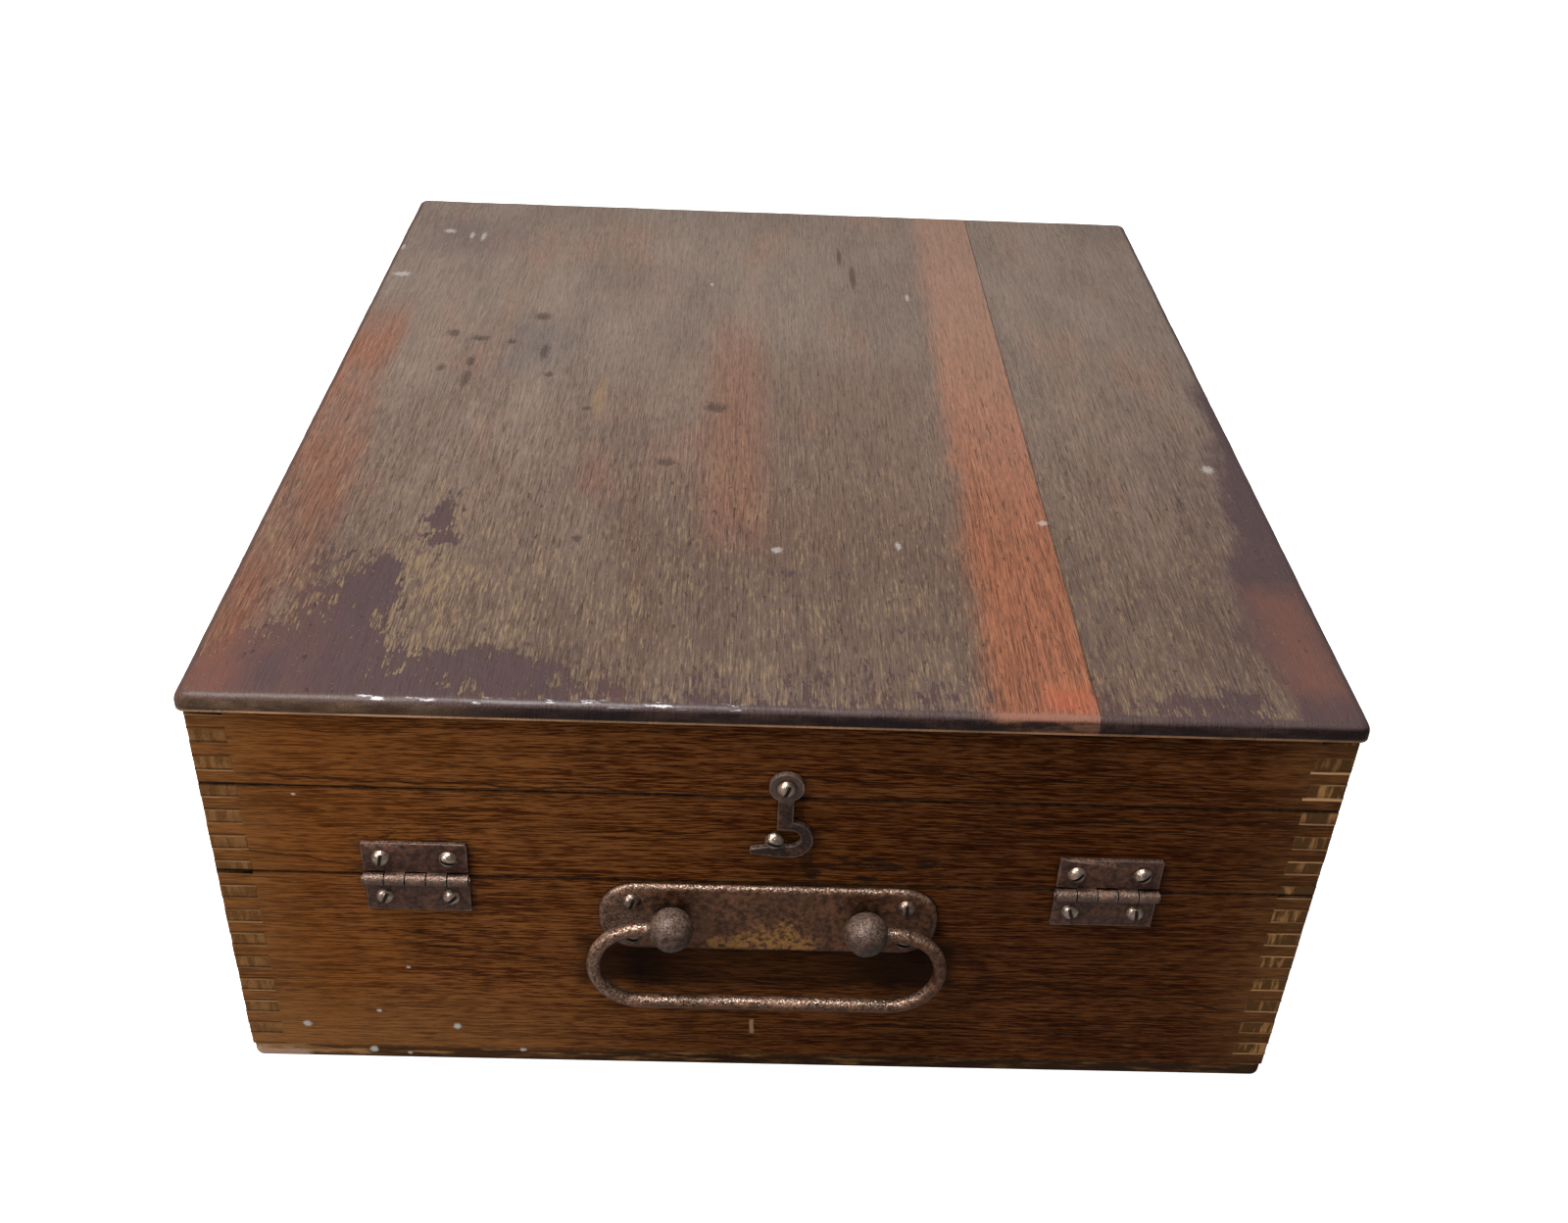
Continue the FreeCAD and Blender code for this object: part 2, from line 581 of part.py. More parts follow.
def hook(label, face):
    """The flat hook: an eye on the pivot screw, an arm, and a ring whose mouth opens to the left
    above a tail. The pivot is at the origin."""
    body = new_body(label)
    ring_up = "-hook_ring_drop"
    mouth_up = "hook_mouth_rise - hook_ring_drop"
    mouth_top = mouth_up + " + hook_mouth_width / 2"
    mouth_bottom = mouth_up + " - hook_mouth_width / 2"
    ring = new_sketch(body)
    add_circle(ring, "hook_ring_offset", ring_up, "hook_ring_radius")
    pad(body, ring, "hook_thickness")
    beyond = "-hook_ring_radius - hook_tail_length"
    mouth = new_sketch(body)
    add_polygon(
        mouth,
        [
            (beyond, mouth_bottom),
            ("hook_ring_offset", mouth_bottom),
            ("hook_ring_offset", mouth_top),
            ("-hook_arm_width / 2", mouth_top),
            ("-hook_arm_width / 2", "0"),
            (beyond, "0"),
        ],
    )
    pocket(body, mouth)
    bend = new_sketch(body)
    add_circle(bend, "hook_ring_offset", mouth_up, "hook_mouth_width / 2")
    pocket(body, bend)
    tail = new_sketch(body)
    tail_low = "-hook_ring_radius - hook_ring_drop"
    tip = "hook_ring_offset - hook_tail_length"
    middle = "(%s + %s) / 2" % (mouth_bottom, tail_low)
    add_polygon(
        tail,
        [
            ("hook_ring_offset", tail_low),
            ("hook_ring_offset", mouth_bottom),
            ("-hook_arm_width / 2", mouth_bottom),
            (tip, "%s + hook_tail_tip / 2" % middle),
            (tip, "%s - hook_tail_tip / 2" % middle),
            ("-hook_arm_width / 2", tail_low),
        ],
    )
    pad(body, tail, "hook_thickness")
    arm = new_sketch(body)
    add_rectangle(arm, "-hook_arm_width / 2", mouth_top, "hook_arm_width / 2", "0")
    pad(body, arm, "hook_thickness")
    eye = new_sketch(body)
    add_circle(eye, "0", "0", "hook_eye_radius")
    pad(body, eye, "hook_thickness")
    pivot = new_sketch(body)
    add_circle(pivot, "0", "0", "shank_radius + pivot_clearance")
    pocket(body, pivot)
    across, up = hook_seat(face)
    place_on_face(body, face, across, up, "hook_gap")


hook("front_hook", "front")
hook("rear_hook", "rear")

# The handle plate, screwed flat on the front
plate = new_body("handle_plate")
outline = new_sketch(plate)
add_rectangle(
    outline, "-plate_length / 2", "-plate_height / 2", "plate_length / 2", "plate_height / 2"
)
pad(plate, outline, "plate_thickness")
round_edges(plate, "plate_corner_radius", is_upright)
doc.recompute()
plate_front = plate.Shape.BoundBox.ZMax
round_edges(plate, "plate_edge_radius", lambda edge: lies_at(edge, "Z", plate_front))
holes = new_sketch(plate)
for across in ("-", ""):
    for up in ("-", ""):
        add_circle(
            holes, across + "plate_screw_offset", up + "plate_screw_rise", "shank_radius + shank_clearance"
        )
    add_circle(
        holes, across + "boss_offset", "bail_height - plate_centre_height", "tenon_radius + tenon_clearance"
    )
pocket(plate, holes)
place_on_face(plate, "front", "0", "plate_centre_height", "0")


def boss(label, side):
    """A ball on the plate, riveted through it, with a blind hole for the end of the bail."""
    body = new_body(label)
    ball = body.newObject("PartDesign::AdditiveSphere", label + "_ball")
    tie(ball, "Radius", "boss_radius")
    tie(ball, "Angle1", "-asin((boss_reach - plate_thickness) / boss_radius)")
    place(ball, "0", "0", "boss_reach")
    tenon = body.newObject("PartDesign::AdditiveCylinder", label + "_tenon")
    tie(tenon, "Radius", "tenon_radius")
    tie(tenon, "Height", "boss_reach")
    bore = new_sketch(body, "YZ_Plane", "-bail_inset - bail_end_gap")
    add_circle(bore, "0", "boss_reach", "bail_radius + bail_clearance")
    pocket(body, bore, "2 * boss_radius", along_normal=True)
    across = "-boss_offset" if side == "left" else "boss_offset"
    place_on_face(
        body, "front", across, "bail_height", "0", HALF_TURN if side == "left" else FreeCAD.Rotation()
    )


boss("handle_boss_left", "left")
boss("handle_boss_right", "right")


def add_rod(body, name, start, up, length):
    """A straight length of the bail's rod, along X."""
    straight = body.newObject("PartDesign::AdditiveCylinder", name)
    tie(straight, "Radius", "bail_radius")
    tie(straight, "Height", length)
    place(straight, start, up, "0", FreeCAD.Rotation(FreeCAD.Vector(0, 1, 0), 90))


def bail():
    """The bail: a round rod bent into a flat loop, open between its two ends in the balls. The
    pivot runs along X through the origin and the loop hangs down."""
    body = new_body("bail_handle")
    add_rod(body, "bail_grip", "-bail_bend_offset", "-2 * bail_bend_radius", "2 * bail_bend_offset")
    for side, across, turn in (("right", "bail_bend_offset", -90), ("left", "-bail_bend_offset", 90)):
        bend = body.newObject("PartDesign::AdditiveTorus", "bail_bend_" + side)
        tie(bend, "Radius1", "bail_bend_radius")
        tie(bend, "Radius2", "bail_radius")
        bend.Angle3 = 180
        place(bend, across, "-bail_bend_radius", "0", FreeCAD.Rotation(Z_AXIS, turn))
    end_length = "bail_bend_offset - boss_offset + bail_inset"
    add_rod(body, "bail_end_right", "boss_offset - bail_inset", "0", end_length)
    add_rod(body, "bail_end_left", "-bail_bend_offset", "0", end_length)
    place_on_face(body, "front", "0", "bail_height", "boss_reach")


bail()
doc.recompute()

# Every object has to be sound before a file is written
for item in doc.Objects:
    if "Invalid" in item.State or "Error" in item.State:
        raise RuntimeError("%s did not build: %s" % (item.Label, item.State))
for piece in pieces:
    if piece.Shape.isNull() or not piece.Shape.isValid() or not piece.Shape.Solids:
        raise RuntimeError("%s has no sound shape" % piece.Label)

os.makedirs("parts", exist_ok=True)
for piece in pieces:
    piece.Shape.exportStep(os.path.join("parts", piece.Label + ".step"))
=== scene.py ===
"""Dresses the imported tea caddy: worn stained boards, rusty fittings, tinned liners and a plain studio."""

import json
import math

import bmesh
import bpy
from bpy.props import FloatProperty, FloatVectorProperty, PointerProperty
from bpy.types import Operator, Panel, PropertyGroup
from mathutils import Matrix, Vector, noise

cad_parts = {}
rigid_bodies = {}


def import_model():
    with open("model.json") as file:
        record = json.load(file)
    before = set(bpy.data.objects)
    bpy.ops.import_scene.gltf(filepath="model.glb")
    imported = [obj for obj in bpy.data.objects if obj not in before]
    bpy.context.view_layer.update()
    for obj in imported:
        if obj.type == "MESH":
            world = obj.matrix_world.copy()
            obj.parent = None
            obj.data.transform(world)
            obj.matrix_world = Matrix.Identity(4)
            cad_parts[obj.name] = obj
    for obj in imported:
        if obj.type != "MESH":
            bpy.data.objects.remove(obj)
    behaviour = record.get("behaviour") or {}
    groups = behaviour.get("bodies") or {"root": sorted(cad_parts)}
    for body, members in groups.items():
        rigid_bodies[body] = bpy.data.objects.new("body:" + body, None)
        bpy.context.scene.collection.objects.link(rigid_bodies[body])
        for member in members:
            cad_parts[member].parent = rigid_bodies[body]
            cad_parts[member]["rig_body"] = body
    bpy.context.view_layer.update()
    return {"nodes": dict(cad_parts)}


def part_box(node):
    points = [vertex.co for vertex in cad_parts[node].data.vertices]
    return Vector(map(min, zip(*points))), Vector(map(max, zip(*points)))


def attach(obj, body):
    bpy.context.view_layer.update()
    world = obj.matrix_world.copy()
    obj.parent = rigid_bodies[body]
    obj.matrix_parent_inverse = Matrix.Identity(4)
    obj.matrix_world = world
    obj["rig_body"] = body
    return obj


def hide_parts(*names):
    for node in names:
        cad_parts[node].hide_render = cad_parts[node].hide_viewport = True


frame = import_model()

bl_info = {
    "name": "Tea caddy",
    "version": (1, 0, 0),
    "blender": (4, 5, 0),
    "location": "3D View > Sidebar > Caddy",
    "description": "Boards, fittings, liners and studio of an old hinged tea caddy",
    "category": "Object",
}

MM = 0.001
TIERS = ("base", "tray", "lid")
SIDES = ("front", "rear", "left", "right")

# Places that the finishes follow, in metres from the middle of the case and from the floor
INSIDE_X, INSIDE_Y = 0.1485, 0.1745
TOP_X, TOP_Y = 0.161, 0.187
GLUE_LINE = 0.0867
SEAMS = (0.0793, 0.1116)
BOTTOM_BOARD = 0.006
FINGER = 0.0048
KNUCKLE = 0.006

# Dark of open pores and grain lines, and dirt with painted shade in the corners of bare wood
PORE = (0.006, 0.003, 0.001)
WOOD_DIRT_AND_SHADE = (0.03, 0.018, 0.010)

# The camera
CAMERA_PLACE = (-0.01186, -0.52850, 0.40701)
CAMERA_RIGHT = (0.99916, -0.00781, 0.04015)
CAMERA_UP = (-0.02885, 0.56137, 0.82706)


def tone(red, green, blue):
    """A screen tone of 0 to 255 per channel as a scene-linear colour."""
    return tuple(((c / 255 + 0.055) / 1.055) ** 2.4 if c > 10 else c / 255 / 12.92 for c in (red, green, blue))


def scaled(shade, share):
    """A colour made darker or lighter."""
    return [channel * share for channel in shade]


def colour(name, description, default):
    """A colour that a user may change."""
    return FloatVectorProperty(
        name=name, description=description, subtype="COLOR", size=3, min=0, max=1, default=tone(*default)
    )


def length(name, description, millimetres, largest):
    """A length that a user may change, kept in metres."""
    return FloatProperty(
        name=name, description=description, subtype="DISTANCE", unit="LENGTH", min=0,
        max=largest * MM, default=millimetres * MM, precision=5,
    )


class CaddyWood(PropertyGroup):
    """Stain, varnish and wear of the boards."""

    wall_light: colour("Wall light", "Lighter grain of the stained walls", (126, 77, 38))
    wall_dark: colour("Wall dark", "Darker grain of the stained walls", (57, 23, 1))
    wall_warm: colour("Wall warm", "Golden stain towards the left of the front", (128, 74, 24))
    end_grain: colour("End grain", "Finger ends at the corners", (158, 114, 71))
    bare: colour("Bare wood", "Fresh wood in chips and along worn corners", (190, 146, 102))
    inside: colour("Inside", "Unstained faces inside the case", (122, 82, 50))
    top_light: colour("Top light", "Lighter grain of the top", (122, 104, 92))
    top_dark: colour("Top dark", "Darker grain of the top", (72, 56, 48))
    top_red: colour("Top red", "Redder wood along the glue line and the left edge", (140, 86, 62))
    varnish: colour("Varnish", "Varnish that is still whole along the front and right edges", (66, 51, 52))
    worn: colour("Worn", "Olive wood where the varnish has gone", (120, 99, 74))
    corner_wear: length("Corner wear", "Largest rounding of the finger corners", 1.3, 3)
    seam_ease: length("Seam ease", "Rounding along the sawn seams", 0.4, 1)
    finger_ease: length("Finger ease", "Rounding along the finger joints", 0.22, 0.5)
    board_ease: length("Board ease", "Rounding of the edges inside", 0.5, 1.5)
    top_rounding: length("Top rounding", "Upper edge of the top boards", 4.2, 4.5)
    dent_depth: length("Dent depth", "Deepest dent in the top", 0.7, 1.5)


class CaddyIron(PropertyGroup):
    """Rust and polish of the fittings."""

    handle: colour("Handle iron", "Dark skin of the handle", (92, 62, 45))
    hinge: colour("Hinge iron", "Dark skin of the hinges", (80, 55, 46))
    rust: colour("Rust", "Rust on all the iron", (112, 70, 44))
    hook: colour("Hook iron", "Darker skin of the hooks", (50, 33, 27))
    # On the hinge barrels this lighter colour is partly a painted highlight for the light from above
    knuckle: colour("Knuckles", "Lighter iron of the hinge barrels", (114, 94, 82))
    # Also the colour of the painted glints on the upward faces of the iron
    rubbed: colour("Rubbed metal", "Metal rubbed bright on the edges", (206, 182, 164))
    brassy: colour("Old brassing", "Golden wash left on the handle plate", (146, 102, 50))
    screw: colour("Screw heads", "Worn steel of the screw heads", (178, 156, 140))
    tin: colour("Tinned sheet", "Dull tin of the liners", (150, 148, 142))
    forging: length("Forging", "Unevenness of the hammered handle", 0.22, 0.6)
    leaf_ease: length("Leaf ease", "Rounding of the hinge and hook edges", 0.22, 0.4)


class CaddyStudio(PropertyGroup):
    """Floor, lights and camera."""

    floor: colour("Floor", "Pale floor", (250, 250, 250))
    bounce: FloatProperty(
        name="Floor bounce", description="Share of the floor's paleness that lights the case",
        min=0, max=1, default=0.3,
    )
    key_power: FloatProperty(
        name="Left light", description="Light from the upper left", subtype="POWER", unit="POWER",
        min=0, default=8,
    )
    over_power: FloatProperty(
        name="Upper light", description="Light over the top", subtype="POWER", unit="POWER", min=0, default=26
    )
    surround: FloatProperty(
        name="Surround", description="Even light from all sides", min=0, max=2, default=0.25
    )
    lens: FloatProperty(
        name="Lens", description="Focal length of the camera", subtype="DISTANCE_CAMERA", unit="CAMERA",
        min=10, default=37.169,
    )


def of_scene():
    """The settings of the caddy in this scene."""
    return bpy.context.scene.caddy_wood, bpy.context.scene.caddy_iron, bpy.context.scene.caddy_studio


# Short calls for building node trees


def add(tree, kind, inputs=None, out=0, **settings):
    """Adds a node, sets or links its inputs, and gives one of its outputs."""
    new = tree.nodes.new(kind)
    for key, value in settings.items():
        setattr(new, key, value)
    for key, value in (inputs or {}).items():
        if isinstance(value, bpy.types.NodeSocket):
            tree.links.new(value, new.inputs[key])
        else:
            new.inputs[key].default_value = value
    return new.outputs[out]


def maths(tree, operation, first, second=0.0, clamp=False):
    """One sum on two values, each a socket or a number."""
    return add(tree, "ShaderNodeMath", {0: first, 1: second}, operation=operation, use_clamp=clamp)


def times(tree, first, second, clamp=False):
    return maths(tree, "MULTIPLY", first, second, clamp)


def plus(tree, first, second):
    return maths(tree, "ADD", first, second)


def minus(tree, first, second):
    return maths(tree, "SUBTRACT", first, second)


def absolute(tree, value):
    return maths(tree, "ABSOLUTE", value)


def larger(tree, first, second):
    return maths(tree, "MAXIMUM", first, second)


def vector_maths(tree, operation, first, second, out=0):
    """One sum on two vectors."""
    return add(tree, "ShaderNodeVectorMath", {0: first, 1: second}, out, operation=operation)


def ranged(tree, value, low, high, start=0.0, end=1.0):
    """Value taken smoothly from low..high to start..end, clamped."""
    inputs = {0: value, 1: low, 2: high, 3: start, 4: end}
    return add(tree, "ShaderNodeMapRange", inputs, interpolation_type="SMOOTHSTEP")


def mixed(tree, factor, first, second, blend="MIX"):
    """Two colours mixed by a factor; a colour may be a socket or three numbers."""
    inputs = {0: factor}
    for index, value in ((6, first), (7, second)):
        inputs[index] = value if isinstance(value, bpy.types.NodeSocket) else (*value, 1)
    return add(tree, "ShaderNodeMix", inputs, 2, data_type="RGBA", blend_type=blend, clamp_factor=True)


def laid(tree, skin, shade, mask, share):
    """A colour laid over the skin where a mask is, at a share of its strength."""
    return mixed(tree, times(tree, mask, share), skin, shade)


def noise_field(tree, vector, scale, detail=2.0, roughness=0.5, out=0):
    """Soft noise about 0.5; out 1 gives it as a colour."""
    inputs = {"Vector": vector, "Scale": scale, "Detail": detail, "Roughness": roughness}
    return add(tree, "ShaderNodeTexNoise", inputs, out)


def split(tree, vector):
    """The three parts of a vector."""
    parts = add(tree, "ShaderNodeSeparateXYZ", {0: vector}).node.outputs
    return parts[0], parts[1], parts[2]


def joined(tree, x, y, z):
    """A vector from three parts."""
    return add(tree, "ShaderNodeCombineXYZ", {0: x, 1: y, 2: z})


def largest(tree, masks):
    """The strongest of several masks."""
    total = masks[0]
    for mask in masks[1:]:
        total = larger(tree, total, mask)
    return total


def weighted(tree, *terms):
    """The sum of several values, each times its weight."""
    total = None
    for value, weight in terms:
        part = times(tree, value, weight)
        total = part if total is None else plus(tree, total, part)
    return total


def stretched(tree, vector, scales, detail, roughness=0.5):
    """Soft noise with a scale of its own along each axis."""
    return noise_field(tree, vector_maths(tree, "MULTIPLY", vector, scales), 1, detail, roughness)


def drifting(tree, vector, scale, detail, roughness=0.5):
    """Soft noise about zero in three directions."""
    field = noise_field(tree, vector, scale, detail, roughness, out=1)
    return vector_maths(tree, "SUBTRACT", field, (0.5, 0.5, 0.5))


def feed(tree, sockets, **values):
    """Links or sets sockets given by name, with underscores for spaces."""
    for label, value in values.items():
        socket = sockets[label.replace("_", " ")]
        if isinstance(value, bpy.types.NodeSocket):
            tree.links.new(value, socket)
        else:
            socket.default_value = value


def new_group(name, inputs, outputs):
    """An empty node group that takes a vector and named inputs and puts out named values.

    Gives its tree, the sockets that it takes and the sockets to feed.
    """
    tree = bpy.data.node_groups.new(name, "ShaderNodeTree")
    for label, kind, default in (("Vector", "Vector", (0, 0, 0)), *inputs):
        socket = tree.interface.new_socket(label, in_out="INPUT", socket_type="NodeSocket" + kind)
        socket.default_value = default
    for label in outputs:
        tree.interface.new_socket(label, in_out="OUTPUT", socket_type="NodeSocketFloat")
    return tree, tree.nodes.new("NodeGroupInput").outputs, tree.nodes.new("NodeGroupOutput").inputs


def use(tree, group, **values):
    """Places a group with inputs given by name, and gives its outputs."""
    placed = tree.nodes.new("ShaderNodeGroup")
    placed.node_tree = group
    feed(tree, placed.inputs, **values)
    return placed.outputs


# Effects that several finishes share


def grain_group():
    """Streaks, lines, fibres and pores of sawn wood; the grain runs along the vector's X, in metres."""
    tree, given, result = new_group(
        "wood_grain", [("Waviness", "Float", 0.004)], ("Streaks", "Lines", "Fibre", "Pores")
    )
    slow = vector_maths(tree, "MULTIPLY", given["Vector"], (7, 22, 22))
    sideways = vector_maths(tree, "MULTIPLY", drifting(tree, slow, 1, 2), (0, 1, 1))
    sway = add(tree, "ShaderNodeVectorMath", {0: sideways, "Scale": given["Waviness"]}, operation="SCALE")
    vector = vector_maths(tree, "ADD", given["Vector"], sway)
    for label, along, across, detail, roughness, low, high in (
        ("Streaks", 4, 190, 5, 0.62, 0.34, 0.66), ("Lines", 46, 1600, 4, 0.65, 0.34, 0.66),
        ("Fibre", 170, 2900, 3, 0.6, 0.36, 0.64), ("Pores", 110, 1900, 2, 0.55, 0.59, 0.68),
    ):
        field = stretched(tree, vector, (along, across, across), detail, roughness)
        tree.links.new(ranged(tree, field, low, high), result[label])
    return tree


def patch_group():
    """A mask that is one inside a box with ragged, soft edges."""
    tree, given, result = new_group(
        "patch",
        [
            ("Centre", "Vector", (0, 0, 0)), ("Half Size", "Vector", (0.01, 0.01, 0.01)),
            ("Softness", "Float", 0.002), ("Ragged", "Float", 0.002), ("Grain", "Vector", (150, 150, 150)),
        ],
        ("Mask",),
    )
    coarse = vector_maths(tree, "MULTIPLY", given["Vector"], given["Grain"])
    wander = drifting(tree, coarse, 1, 4, 0.65)
    moved = add(tree, "ShaderNodeVectorMath", {0: wander, "Scale": given["Ragged"]}, operation="SCALE")
    place = vector_maths(tree, "SUBTRACT", vector_maths(tree, "ADD", given["Vector"], moved), given["Centre"])
    outside = vector_maths(
        tree, "SUBTRACT", vector_maths(tree, "ABSOLUTE", place, (0, 0, 0)), given["Half Size"]
    )
    x, y, z = split(tree, outside)
    reach = largest(tree, [x, y, z])
    inner = times(tree, given["Softness"], -1)
    feed(tree, result, Mask=ranged(tree, reach, inner, given["Softness"], 1.0, 0.0))
    return tree


def spot_group():
    """A mask for one round or long spot with an uneven edge."""
    tree, given, result = new_group(
        "spot",
        [
            ("Centre", "Vector", (0, 0, 0)), ("Radius", "Vector", (0.002, 0.002, 0.002)),
            ("Softness", "Float", 0.3), ("Ragged", "Float", 0.5),
        ],
        ("Mask",),
    )
    place = vector_maths(
        tree, "DIVIDE", vector_maths(tree, "SUBTRACT", given["Vector"], given["Centre"]), given["Radius"]
    )
    distance = add(tree, "ShaderNodeVectorMath", {0: place}, 1, operation="LENGTH")
    uneven = minus(tree, noise_field(tree, given["Vector"], 900, 3, 0.6), 0.5)
    reach = plus(tree, distance, times(tree, uneven, given["Ragged"]))
    near = minus(tree, 1.0, given["Softness"])
    far = plus(tree, 1.0, given["Softness"])
    feed(tree, result, Mask=ranged(tree, reach, near, far, 1.0, 0.0))
    return tree


def edge_group():
    """Where edges are rubbed: one on outer edges, broken up by noise."""
    tree, given, result = new_group(
        "edge_wear", [("Width", "Float", 0.0008), ("Breakup", "Float", 0.6)], ("Mask",)
    )
    rounded = add(tree, "ShaderNodeBevel", {"Radius": given["Width"]}, samples=4)
    plain = add(tree, "ShaderNodeNewGeometry", out="Normal")
    bend = minus(tree, 1.0, vector_maths(tree, "DOT_PRODUCT", rounded, plain, out=1))
    edge = ranged(tree, bend, 0.01, 0.16)
    rough = ranged(tree, noise_field(tree, given["Vector"], 420, 4, 0.6), 0.38, 0.62)
    kept = minus(tree, 1.0, times(tree, given["Breakup"], minus(tree, 1.0, rough)))
    feed(tree, result, Mask=times(tree, edge, kept, True))
    return tree


def shade_and_grime_group():
    """Dirt and painted shade that gather in corners and joints, from ambient occlusion."""
    tree, given, result = new_group("shade_and_grime", [("Reach", "Float", 0.003)], ("Mask",))
    open_sky = add(tree, "ShaderNodeAmbientOcclusion", {"Distance": given["Reach"]}, 1, samples=4)
    shut = ranged(tree, open_sky, 0.25, 0.95, 1.0, 0.0)
    uneven = ranged(tree, noise_field(tree, given["Vector"], 260, 3), 0.25, 0.7, 0.55, 1.0)
    feed(tree, result, Mask=times(tree, shut, uneven, True))
    return tree


def rust_group():
    """Rust blotches, small pits and a mottled skin on iron."""
    tree, given, result = new_group(
        "rust", [("Scale", "Float", 120.0), ("Amount", "Float", 0.5)], ("Blotches", "Pits", "Mottle")
    )
    blotch = noise_field(tree, given["Vector"], given["Scale"], 5, 0.62)
    edge = minus(tree, 0.78, times(tree, given["Amount"], 0.45))
    blotches = ranged(tree, blotch, minus(tree, edge, 0.1), plus(tree, edge, 0.1))
    inputs = {"Vector": given["Vector"], "Scale": times(tree, given["Scale"], 9), "Randomness": 1.0}
    cells = add(tree, "ShaderNodeTexVoronoi", inputs, feature="SMOOTH_F1")
    pits = ranged(tree, cells, 0.12, 0.42, 1.0, 0.0)
    mottle = noise_field(tree, given["Vector"], times(tree, given["Scale"], 4), 4, 0.6)
    feed(tree, result, Blotches=blotches, Pits=pits, Mottle=mottle)
    return tree


def shared(name):
    """One of the shared effects, built the first time it is asked for."""
    makers = {
        "wood_grain": grain_group, "patch": patch_group, "spot": spot_group,
        "edge_wear": edge_group, "shade_and_grime": shade_and_grime_group, "rust": rust_group,
    }
    return bpy.data.node_groups.get(name) or makers[name]()


# Finishes


def new_finish(name):
    """A material with a bare Principled shader; gives the material, its tree and its shader."""
    material = bpy.data.materials.new(name)
    material.use_nodes = True
    tree = material.node_tree
    return material, tree, tree.nodes["Principled BSDF"]


def place_of(tree):
    """The place on the object, in metres, which moves with the piece."""
    return add(tree, "ShaderNodeTexCoord", out="Object")


def bumped(tree, shader, height, distance, strength=1.0):
    """Feeds a height in 0..1 to the shader's normal, distance in metres deep."""
    normal = add(tree, "ShaderNodeBump", {"Height": height, "Distance": distance, "Strength": strength})
    tree.links.new(normal, shader.inputs["Normal"])


def along_grain(tree, place, axis):
    """The place with the grain direction first."""
    x, y, z = split(tree, place)
    return place if axis == "X" else joined(tree, y, x, z)


def grain_of(tree, place, axis, waviness):
    """The grain of a board that runs along X or along Y."""
    return use(tree, shared("wood_grain"), Vector=along_grain(tree, place, axis), Waviness=waviness)


def shade_and_dirt_in(tree, place, reach):
    """A mask of dirty corners and joints with their painted shade, from ambient occlusion; reach in metres."""
    return use(tree, shared("shade_and_grime"), Vector=place, Reach=reach)["Mask"]


def rubbed_edges(tree, place, width, breakup):
    """A mask of the rubbed edges, width in metres."""
    return use(tree, shared("edge_wear"), Vector=place, Width=width, Breakup=breakup)["Mask"]


def facing(tree, axis):
    """How squarely a face looks along an axis of the object, 0 to 1."""
    normal = add(tree, "ShaderNodeTexCoord", out="Normal")
    return absolute(tree, split(tree, normal)["XYZ".index(axis)])


def spots(tree, place, marks, softness=0.3, ragged=0.5):
    """One mask for several spots, each given as a centre and a radius in millimetres."""
    masks = []
    for centre, radius in marks:
        values = {"Centre": [c * MM for c in centre], "Radius": [r * MM for r in radius]}
        masks.append(
            use(tree, shared("spot"), Vector=place, Softness=softness, Ragged=ragged, **values)["Mask"]
        )
    return largest(tree, masks)


def stroke(tree, place, start, end, width):
    """A thin wandering line on the front between two points, given as millimetres across and up."""
    x, y, z = split(tree, place)
    slope = (end[1] - start[1]) / (end[0] - start[0])
    level = plus(tree, times(tree, x, slope), (start[1] - slope * start[0]) * MM)
    wander = times(tree, minus(tree, noise_field(tree, place, 60, 4), 0.5), 0.006)
    gap = absolute(tree, plus(tree, minus(tree, z, level), wander))
    line = times(tree, ranged(tree, gap, 0, width * MM, 1, 0), ranged(tree, y, -0.180, -0.184))
    middle, half = (start[0] + end[0]) / 2 * MM, (end[0] - start[0]) / 2 * MM
    along = absolute(tree, minus(tree, x, middle))
    return times(tree, line, ranged(tree, along, half * 0.7, half, 1, 0))


def patch(tree, place, low, high, softness, ragged, grain=(150, 150, 150)):
    """A ragged box mask between two corners given in millimetres."""
    centre = [(a + b) / 2 * MM for a, b in zip(low, high)]
    half = [(b - a) / 2 * MM for a, b in zip(low, high)]
    return use(
        tree, shared("patch"), Vector=place, Centre=centre, Half_Size=half,
        Softness=softness * MM, Ragged=ragged * MM, Grain=grain,
    )["Mask"]


# Marks on the front, in millimetres: spots as centre and radius, boxes as two corners, and strokes as
# two ends across and up with a width
PAINT_SPECKS = (
    ((-140.6, -185, 15.7), (1.2, 2, 1.2)), ((-118.1, -185, 22.1), (0.8, 2, 0.6)),
    ((-121.3, -185, 4.6), (1.3, 2, 1.3)), ((-94.6, -185, 15.8), (1.1, 2, 1.3)),
    ((-110.2, -185, 3.2), (0.7, 2, 0.5)), ((-74.8, -185, 5.6), (0.9, 2, 0.7)),
    ((-107.4, -185, 41.3), (0.7, 2, 0.5)), ((-133.2, -185, 108.6), (0.6, 2, 0.4)),
)
BARE_LINES = (
    ((147.6, -190, 125.1), (160, -174, 125.9)), ((147.4, -190, 115.5), (160, -174, 116.4)),
)
GRAIN_MARKS = (
    ((-112, 52), (-48, 44.6), 0.7), ((72, 41), (152, 29.5), 0.6), ((60, 104), (150, 107.5), 0.9),
    ((-152, 88), (-118, 83), 0.6), ((-60, 97), (-12, 99), 0.5), ((20, 21), (110, 17), 0.6),
    ((-156, 115), (-20, 112.6), 0.7), ((10, 123), (150, 118), 0.5),
)
DARK_STAINS = (
    ((8, -190, 79.6), (52, -180, 90)), ((-118, -190, 91.5), (-92, -180, 97)),
    ((-119, -190, 78), (-112, -180, 82)),
)


